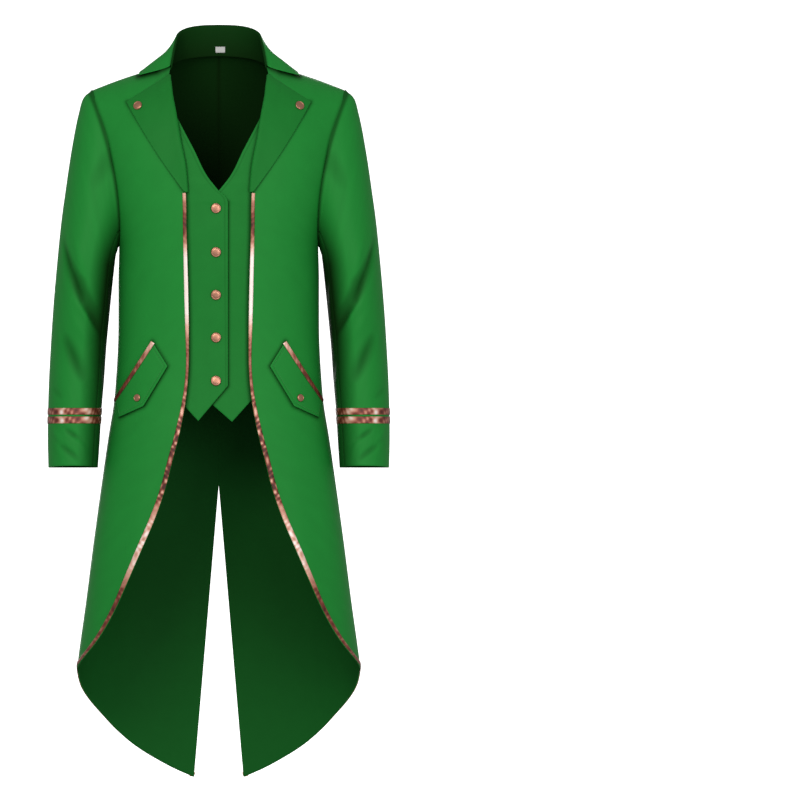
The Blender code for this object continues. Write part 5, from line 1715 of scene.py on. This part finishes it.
@dataclass
class PocketFlaps(SubAssembly):
    """Slanted pointed pocket flaps with braid along the top and stitching round the free edges."""

    point_share: float = 0.36
    rows: int = 40
    braid_columns: int = 7
    braid_width: float = 6.6
    stitch_inset: float = 4.0
    first_stitch_row: int = 6
    stitch_groove: Dip = Dip(0.5, 1.2)
    stitch_shadow: Dip = Dip(0.25, 1.0)
    braid_gap: float = 0.6
    braid_shadow: Dip = Dip(0.5, 0.9)
    foot_lift: float = 1.2
    # Painted light: the flap is painted brighter than the rest of the coat
    brightness: float = 1.12

    def top_edge(self) -> tuple[Array, Array]:
        """Shares of the way along the flap from its back to its front, and the top edge's places there."""
        share = self.point_share
        across = np.concatenate([np.linspace(0, share, 22), np.linspace(share, 1, 38)[1:]])[:, None]
        start, end = np.array(FLAP_CORNERS["top_back"]), np.array(FLAP_CORNERS["top_front"])
        return across, start + across * (end - start)

    def cloth(self) -> Cloth:
        """The left flap, with straight edges as seen from the front."""
        across, top = self.top_edge()
        low_back, point, low_front = (
            np.array(FLAP_CORNERS[name]) for name in ("low_back", "point", "low_front")
        )
        share = self.point_share
        to_point = low_back + across / share * (point - low_back)
        from_point = point + (across - share) / (1 - share) * (low_front - point)
        low = np.where(across <= share, to_point, from_point)
        down = np.linspace(0, 1, self.rows)[:, None, None]
        grid = top + down * (low - top)
        cloth = self.on_body(self.coat.angle_at(grid[..., 0], grid[..., 1], False), grid[..., 1])
        from_stitches = np.minimum.reduce(self.from_free_edges(cloth)) - self.stitch_inset
        cloth.lower(from_stitches, self.stitch_groove)
        cloth.darken(from_stitches, self.stitch_shadow)
        cloth.raised += self.foot_lift * down[..., 0] ** 2
        # Painted light brightens the flap; painted shade lies in the stitch groove and below the braid
        cloth.shade *= self.brightness
        from_braid = np.abs(cloth.from_edge(Edge.FIRST_ROW) - self.braid_width - self.braid_gap)
        cloth.darken(from_braid, self.braid_shadow)
        return cloth

    def braid(self) -> Cloth:
        """Braid along the left flap's top edge, its painted reflections brighter towards the front."""
        across, top = self.top_edge()
        height = top[:, 1:] + np.zeros(self.braid_columns)
        angle = self.coat.angle_at(top[:, :1], height, False)
        braid = strip_beside(self, angle, height, self.braid_width)
        crinkle(braid, 0.14 + 0.6 * across**2, np.array(0.08))
        return braid

    @staticmethod
    def from_free_edges(cloth: Cloth) -> list[Array]:
        """Distances from the lower edge, the back edge and the front edge."""
        return [cloth.from_edge(edge) for edge in (Edge.LAST_ROW, Edge.FIRST_COLUMN, Edge.LAST_COLUMN)]

    def stitches(self, cloth: Cloth, face: float) -> MeshParts:
        """Stitches along the free edges, on the face at an offset from the cloth."""
        to_low, to_back, to_front = self.from_free_edges(cloth)
        row = int(np.argmin(np.abs(to_low[:, 0] - self.stitch_inset)))
        first = int(np.argmin(np.abs(to_back[row] - self.stitch_inset)))
        last = int(np.argmin(np.abs(to_front[row] - self.stitch_inset)))
        start = self.first_stitch_row
        line, facing = (
            np.concatenate([grid[start:row, first], grid[row, first:last], grid[row:start:-1, last]])
            for grid in (cloth.at(face), cloth.normals)
        )
        return thread(line, facing, STITCH)

    def build(self) -> None:
        """Makes both flaps, their braid and their stitches."""
        cloth, braid = self.cloth(), self.braid()
        base = HALF_WALL + LAYER_GAP
        face = base + FLAP_WALL
        lies_on = face + BRAID_GAP
        stitches = self.stitches(cloth, face)
        for side in Side:
            self.add_cloth("pocket_flap", side, cloth, base, face)
            node = f"flap_braid_{side.letter}"
            part = shell(braid, lies_on, lies_on + BRAID_WALL)
            self.add(f"{node}_foil", mirrored(part, side), Finish.ROSE_BRAID, node)
            self.add(f"flap_stitches_{side.letter}", mirrored(stitches, side), Finish.THREAD)


class FoilRow(NamedTuple):
    """Painted reflections of the foil at a height: how bright, how much its crinkles vary that, and the
    strip's width there.
    """

    height: float
    level: float
    grain: float
    width: float


# Painted reflections of the foil down the front edge and round the hem corner, then down the vent: bright
# flats, dark crinkles
FRONT_FOIL = table(
    FoilRow,
    (-990, 0.36, 0.05, 5.0), (-900, 0.26, 0.08, 7.0), (-862, 0.22, 0.1, 7.6),
    (-846, 0.46, 0.04, 8.0), (-720, 0.5, 0.04, 8.0), (-702, 0.32, 0.2, 7.8),
    (-640, 0.16, 0.2, 7.4), (-590, 0.32, 0.24, 6.6), (-545, 0.38, 0.14, 5.0),
    (-500, 0.36, 0.04, 4.0), (-450, 0.44, 0.04, 4.6), (-425, 0.76, 0.02, 5.4),
    (-300, 0.8, 0.02, 5.6), (-281, 0.42, 0.06, 5.4), (-250, 0.14, 0.08, 5.4),
    (-228, 0.42, 0.04, 5.2), (-205, 0.7, 0.02, 5.0),
)
VENT_FOIL = table(
    FoilRow,
    (-1165, 0.5, 0.04, 7.0), (-980, 0.46, 0.05, 7.0), (-940, 0.3, 0.08, 7.0),
    (-760, 0.2, 0.08, 7.0), (-715, 0.32, 0.12, 7.0), (-660, 0.4, 0.12, 7.0),
)


@dataclass
class EdgeBraid(SubAssembly):
    """Foil braid down the front edges, round the hem, up the vent and across its top."""

    hem_width: float = 7.0
    columns: int = 7
    vent_bar: Triple = (13.0, -650.0, -667.0)
    bar_lift: float = 0.9
    least_out: float = 0.4
    # Painted reflections of the foil by height: how bright, how much the crinkles vary that, and the strip's
    # width
    front_level: Curve = Curve.of(FRONT_FOIL, "height", "level")
    front_grain: Curve = Curve.of(FRONT_FOIL, "height", "grain")
    front_width: Curve = Curve.of(FRONT_FOIL, "height", "width")
    vent_level: Curve = Curve.of(VENT_FOIL, "height", "level")
    vent_grain: Curve = Curve.of(VENT_FOIL, "height", "grain")

    def spread(self, line: Array) -> Array:
        """A path's values, repeated across the strip."""
        return np.repeat(line[:, None], self.columns, axis=1)

    def front(self) -> Cloth:
        """Left front edge, from the lapel's break round the hem's corner to the side seam."""
        coat = self.coat
        upper = np.linspace(coat.lapel_break, coat.armhole.underarm[1], 60, endpoint=False)
        upper_angle = coat.angle_at(coat.edge_curve(upper), upper, False)
        share = np.linspace(0, 1, 480)
        edge_angle, edge_height = coat.front_skirt(0 * share, share)
        across = np.linspace(0, 1, 40)[1:]
        hem_angle, hem_height = coat.front_skirt(across, np.ones_like(across))
        angle = np.concatenate([upper_angle, edge_angle, hem_angle])
        height = np.concatenate([upper, edge_height, hem_height])
        width = self.front_width(height)[:, None, None]
        cloth = strip_beside(self, self.spread(angle), self.spread(height), width)
        crinkle(cloth, self.front_level(cloth.points[..., 2]), self.front_grain(cloth.points[..., 2]))
        return cloth

    def hem(self) -> Cloth:
        """Left hem, from the side seam to the tail's tip."""
        across = np.linspace(1, 0, 180)
        angle, height = self.coat.back_skirt(across, np.ones_like(across))
        cloth = strip_beside(self, self.spread(angle), self.spread(height), self.hem_width)
        # Painted reflections: even foil with one darker stretch, whose crinkles vary more
        dark = bell(across[:, None] - 0.72, 0.07)
        crinkle(cloth, 0.54 - 0.4 * dark, 0.05 + 0.1 * dark)
        return cloth

    def vent(self) -> Cloth:
        """Left side of the vent, from the tip up to the bar."""
        share = np.linspace(1, 0, 400)
        _, height = self.coat.back_skirt(0 * share, share)
        height = height[height < self.vent_bar[2] - LAYER_GAP]
        out = np.maximum(self.coat.vent_edge(height), self.least_out)
        angle = self.coat.angle_at(out, height, True)
        cloth = strip_beside(self, self.spread(angle), self.spread(height), self.hem_width)
        crinkle(cloth, self.vent_level(cloth.points[..., 2]), self.vent_grain(cloth.points[..., 2]))
        return cloth

    def bar(self) -> Cloth:
        """Bar across the top of the vent."""
        half, top, bottom = self.vent_bar
        out, height = np.meshgrid(np.linspace(-half, half, 31), np.linspace(top, bottom, 19))
        points, normals = self.coat.back_at(out, height)
        cloth = Cloth(points, normals)
        cloth.raised += self.coat.relief(points) + self.bar_lift
        crinkle(cloth, np.array(0.42), np.array(0.14))
        return cloth

    def build(self) -> None:
        """Makes every strip."""
        base = HALF_WALL + BRAID_GAP
        for side in Side:
            for name, cloth, finish in (
                ("front_braid", self.front(), Finish.ROSE_BRAID),
                ("hem_braid", self.hem(), Finish.COPPER_BRAID),
                ("vent_braid", self.vent(), Finish.COPPER_BRAID),
            ):
                node = f"{name}_{side.letter}"
                part = mirrored(shell(cloth, base, base + BRAID_WALL), side)
                self.add(f"{node}_foil", part, finish, node)
        self.add("vent_bar_foil", shell(self.bar(), base, base + BRAID_WALL), Finish.COPPER_BRAID, "vent_bar")


@dataclass
class BackBelt(SubAssembly):
    """Half belt at the back waist, stitched down along both edges and round its ends."""

    half_length: float = 87.5
    top: float = -384.0
    bottom: float = -427.0
    corner: float = 11.0
    stitch_inset: float = 3.4
    groove_half_width: float = 1.2
    groove_depth: float = 0.5
    groove_shadow: float = 0.5
    edge_shadow: Dip = Dip(0.75, 1.3)
    stitch_places: int = 400

    def build(self) -> None:
        """Makes the belt and its stitches."""
        middle, half = (self.top + self.bottom) / 2, (self.top - self.bottom) / 2
        level = np.sin(np.linspace(np.pi / 2, -np.pi / 2, 35))[:, None]
        past = np.clip(np.abs(level) * half - (half - self.corner), 0, self.corner)
        pull_in = self.corner - np.sqrt(self.corner**2 - past**2)
        across = np.sin(np.linspace(-np.pi / 2, np.pi / 2, 90))[None, :]
        out = across * (self.half_length - pull_in)
        height = middle + half * level + 0 * across
        points, normals = self.coat.back_at(out, height)
        cloth = Cloth(points, normals)
        cloth.raised += self.coat.relief(points)
        nearest = np.minimum.reduce([cloth.from_edge(edge) for edge in Edge])
        groove = bell(nearest - self.stitch_inset, self.groove_half_width)
        cloth.raised += self.groove_depth - self.groove_depth * groove
        # Painted shade in the stitch groove and along the belt's edges
        cloth.shade *= 1 - self.groove_shadow * groove
        cloth.darken(nearest, self.edge_shadow)
        base = HALF_WALL + LAYER_GAP
        log_size("back_belt", cloth)
        self.add("back_belt_cloth", shell(cloth, base, base + WALL), Finish.SUITING, "back_belt", "back_belt")
        turn = np.radians(np.linspace(0, 90, 10))
        inset = self.corner - self.stitch_inset
        run, rise = self.half_length - self.corner, half - self.corner
        quarter = np.stack([run + inset * np.cos(turn), rise + inset * np.sin(turn)], axis=-1)
        signs = ((1, 1), (-1, 1), (-1, -1), (1, -1))
        ordered = [quarter[::sign[0] * sign[1]] * sign for sign in signs]
        corners = np.concatenate(ordered + [ordered[0][:1]])
        steps = np.append(0, np.cumsum(np.linalg.norm(np.diff(corners, axis=0), axis=-1)))
        places = np.linspace(0, steps[-1], self.stitch_places)
        line_out, line_up = (np.interp(places, steps, corners[:, k]) for k in range(2))
        line, facing = self.coat.back_at(line_out, middle + line_up)
        line = line + facing * (self.coat.relief(line) + base + WALL)[:, None]
        self.add("belt_stitches", thread(line, facing, STITCH), Finish.THREAD)


@dataclass
class Collar(SubAssembly):
    """Stand-fall collar with a stitched leaf, and the bare label at the back of the neck."""

    rows: int = 67
    half_columns: int = 104
    stitch_inset: float = 5.0
    stitch_groove: Dip = Dip(0.4, 1.2)
    stitch_shadow: Dip = Dip(0.25, 1.2)
    fold_row: float = 0.47
    fold_fade: float = 0.06

    def build(self) -> None:
        """Makes the collar, its stitches and the label."""
        points = CollarForm(self.coat).grid(self.rows, self.half_columns)
        cloth = Cloth.facing_away(points, np.zeros(3))
        log_size("collar", cloth)
        to_edge = cloth.from_edge(Edge.LAST_ROW)
        cloth.lower(to_edge - self.stitch_inset, self.stitch_groove)
        cloth.darken(to_edge - self.stitch_inset, self.stitch_shadow)
        # Painted shade on the stand's neck side below the fold, darkest at the neck seam, and on the whole
        # other face
        row = np.linspace(0, 1, self.rows)[:, None]
        past_fold = np.clip((row - self.fold_row) / self.fold_fade, 0, 1)
        cloth.shade *= past_fold + (1 - past_fold) * (0.02 + 0.22 * row)
        cloth.inner_shade[:] = 0.12
        self.add("collar_cloth", shell(cloth, -HALF_WALL, HALF_WALL), Finish.SUITING, "collar", "collar")
        line_row = int(np.argmin(np.abs(to_edge[:, self.half_columns] - self.stitch_inset)))
        line, facing = (grid[line_row, 3:-3] for grid in (cloth.at(HALF_WALL), cloth.normals))
        self.add("collar_stitches", thread(line, facing, COLLAR_STITCH), Finish.THREAD)
        low, high = (np.array(corner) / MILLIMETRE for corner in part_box("neck_label"))
        across, up = np.meshgrid(np.linspace(0, 1, 21), np.linspace(1, 0, 15))
        tag = np.stack([
            low[0] + across * (high[0] - low[0]),
            (low[1] + high[1]) / 2 - 0.5 * np.sin(np.pi * across) - 0.3 * np.sin(2 * np.pi * up),
            low[2] + up * (high[2] - low[2]),
        ], axis=-1)
        label = Cloth(tag, np.broadcast_to(np.array([0.0, -1.0, 0.0]), tag.shape))
        self.add("neck_label_satin", shell(label, 0, LABEL_WALL), Finish.SATIN, "neck_label")


@dataclass
class Buttons(SubAssembly):
    """Rimmed, domed metal buttons on the waistcoat, lapels, flaps, belt and cuffs."""

    waistcoat: Optional[Waistcoat] = None
    sleeves: Optional[Sleeves] = None
    sides: int = 48
    waistcoat_out: float = -4.5
    waistcoat_size: ButtonSize = ButtonSize(8.3, 4.2)
    lapel_size: ButtonSize = ButtonSize(7.5, 3.8)
    flap_size: ButtonSize = ButtonSize(6.1, 3.2)
    belt_size: ButtonSize = ButtonSize(7.7, 4.0)
    cuff_size: ButtonSize = ButtonSize(6.8, 3.4)
    lapel_place: Pair = (130.5, -66.0)
    flap_place: Pair = (130.3, -542.0)
    belt_place: Pair = (75.3, -404.0)
    cuff_angle: float = 251.0
    cuff_heights: tuple[float, ...] = (-593.0, -613.5, -634.0)
    seat: float = 0.1
    piece_seat: float = 0.5
    flap_seat: float = 1.0

    def make(self, node: str, size: ButtonSize, place: Array, normal: Array, offset: float,
             side: Side, finish: Finish) -> None:
        """Turns one button and seats it at an offset from a place on the cloth."""
        profile = [(size.radius * out, size.height * up) for out, up in BUTTON_PROFILE]
        part = lathe(profile, place + normal * offset, normal, self.sides)
        self.add(f"{node}_metal", mirrored(part, side), finish, node)

    def build(self) -> None:
        """Makes every button."""
        coat, top = self.coat, HALF_WALL + LAYER_GAP
        for number, height in enumerate(WAISTCOAT_BUTTON_HEIGHTS, 1):
            out, level = np.array(self.waistcoat_out), np.array(float(height))
            sink = self.waistcoat.sink(out, level, self.waistcoat.cuts[0]) - self.waistcoat.drag(out, level)
            self.make(f"waistcoat_button_{number}", self.waistcoat_size, coat.front_at(out, level),
                      coat.front_normal(out, level), self.seat - sink, Side.LEFT, Finish.ROSE_METAL)
        for side in Side:
            out, height = (np.array(value) for value in self.lapel_place)
            self.make(f"lapel_button_{side.letter}", self.lapel_size, coat.front_at(out, height),
                      coat.front_normal(out, height), top + WALL + self.piece_seat, side, Finish.ROSE_METAL)
            out, height = (np.array(value) for value in self.flap_place)
            angle = coat.angle_at(out, height, False)
            self.make(f"flap_button_{side.letter}", self.flap_size, coat.body(angle, height),
                      coat.body_normal(angle, height), top + FLAP_WALL + self.flap_seat, side,
                      Finish.ROSE_METAL)
            place, normal = coat.back_at(*(np.array(value) for value in self.belt_place))
            self.make(f"belt_button_{side.letter}", self.belt_size, place, normal,
                      top + WALL + self.piece_seat, side, Finish.COPPER_METAL)
            for number, height in enumerate(self.cuff_heights, 1):
                place, normal = self.sleeves.form.surface(np.array(self.cuff_angle), np.array(height))
                self.make(f"cuff_button_{number}_{side.letter}", self.cuff_size, place, normal,
                          HALF_WALL + self.seat, side, Finish.ROSE_METAL)


class Lamp(NamedTuple):
    """A soft box: its place and aim in metres, its size, its power in watts and its colour."""

    name: str
    place: Triple
    aim: Triple
    size: float
    power: float
    colour: str


@dataclass
class Studio:
    """White studio: a seamless cove, soft boxes in front and behind, and the photo's flat view."""

    floor_height: float = -1.25
    radius: float = 2.7
    wall_height: float = 3.6
    cove_radius: float = 0.6
    cove_sides: int = 96
    picture_width: float = 1.3064
    camera_place: Triple = (0.296, -2.0, -0.545)
    lamps: tuple[Lamp, ...] = (
        Lamp("key", (-0.8, -2.3, 0.6), (0, 0, -0.5), 1.1, 29, "#fffaf5"),
        Lamp("fill", (0.9, -2.3, -0.2), (0, 0, -0.7), 1.3, 19, "#ffffff"),
        Lamp("back_key", (0.35, 2.4, 0.4), (0, 0, -0.5), 1.0, 22, "#ffffff"),
        Lamp("back_fill", (-0.35, 2.4, -0.6), (0, 0, -0.7), 1.0, 12, "#ffffff"),
    )
    ambient: float = 0.48

    def build(self) -> None:
        """Makes the cove, the lamps, the world and the camera."""
        turn = np.arange(self.cove_sides) * 2 * np.pi / self.cove_sides
        bend = np.radians(np.linspace(0, 90, 10))
        flat = self.radius - self.cove_radius
        out = np.concatenate([[0.02, 1.0], flat + self.cove_radius * np.sin(bend), [self.radius]])
        rise = np.concatenate([[0.0, 0.0], self.cove_radius * (1 - np.cos(bend)), [self.wall_height]])
        height = (self.floor_height + rise)[:, None] + 0 * turn
        points = np.stack([out[:, None] * np.cos(turn), out[:, None] * np.sin(turn), height], axis=-1)
        index = ring_index(*points.shape[:2])
        mesh = bpy.data.meshes.new("cove")
        mesh.from_pydata(points.reshape(-1, 3).tolist(), [], grid_faces(index).tolist())
        mesh.shade_smooth()
        shader = Shader("white_paper")
        shader.set(base_color=linear("#fafafa"), roughness=0.9, emission_color=linear("#ffffff"),
                   emission_strength=0.86)
        mesh.materials.append(shader.material)
        cove = bpy.data.objects.new("cove", mesh)
        cove.visible_diffuse = False
        cove.visible_glossy = False
        cove.visible_shadow = False
        made = [cove]
        for lamp in self.lamps:
            light = bpy.data.lights.new(lamp.name, "AREA")
            light.shape = "DISK"
            light.size = lamp.size
            light.energy = lamp.power
            light.color = linear(lamp.colour)[:3]
            made.append(self.placed(bpy.data.objects.new(lamp.name, light), lamp.place, lamp.aim))
        camera = bpy.data.cameras.new("camera")
        camera.type = "ORTHO"
        camera.ortho_scale = self.picture_width
        ahead = (self.camera_place[0], 0, self.camera_place[2])
        made.append(self.placed(bpy.data.objects.new("camera", camera), self.camera_place, ahead))
        for item in made:
            bpy.context.scene.collection.objects.link(item)
        bpy.context.scene.camera = made[-1]
        world = bpy.data.worlds.new("studio")
        world.use_nodes = True
        background = world.node_tree.nodes["Background"]
        background.inputs["Color"].default_value = linear("#ffffff")
        background.inputs["Strength"].default_value = self.ambient
        bpy.context.scene.world = world
        bpy.context.scene.view_settings.view_transform = "Standard"

    @staticmethod
    def placed(item: bpy.types.Object, place: Sequence[float], aim: Sequence[float]) -> bpy.types.Object:
        """The object at its place, turned so that it looks at its aim."""
        towards = np.array(aim, float) - np.array(place, float)
        level = math.hypot(towards[0], towards[1])
        item.location = place
        item.rotation_euler = (math.atan2(level, -towards[2]), 0, math.atan2(-towards[0], towards[1]))
        return item


def main() -> None:
    """Builds and dresses the coat, then sets up the studio round it."""
    logging.basicConfig(level=logging.INFO, format="%(name)s: %(message)s")
    finishes = make_finishes()
    coat = CoatForm()
    waistcoat, sleeves = Waistcoat(coat), Sleeves(coat)
    assemblies = [
        CoatBody(coat), sleeves, Lapels(coat), waistcoat, PocketFlaps(coat), EdgeBraid(coat),
        BackBelt(coat), Collar(coat), Buttons(coat, waistcoat=waistcoat, sleeves=sleeves),
    ]
    for assembly in assemblies:
        assembly.build()
        assembly.dress(finishes)
        LOG.info("%s: %d pieces", type(assembly).__name__, len(assembly.pieces))
    Studio().build()


if __name__ == "__main__":
    main()
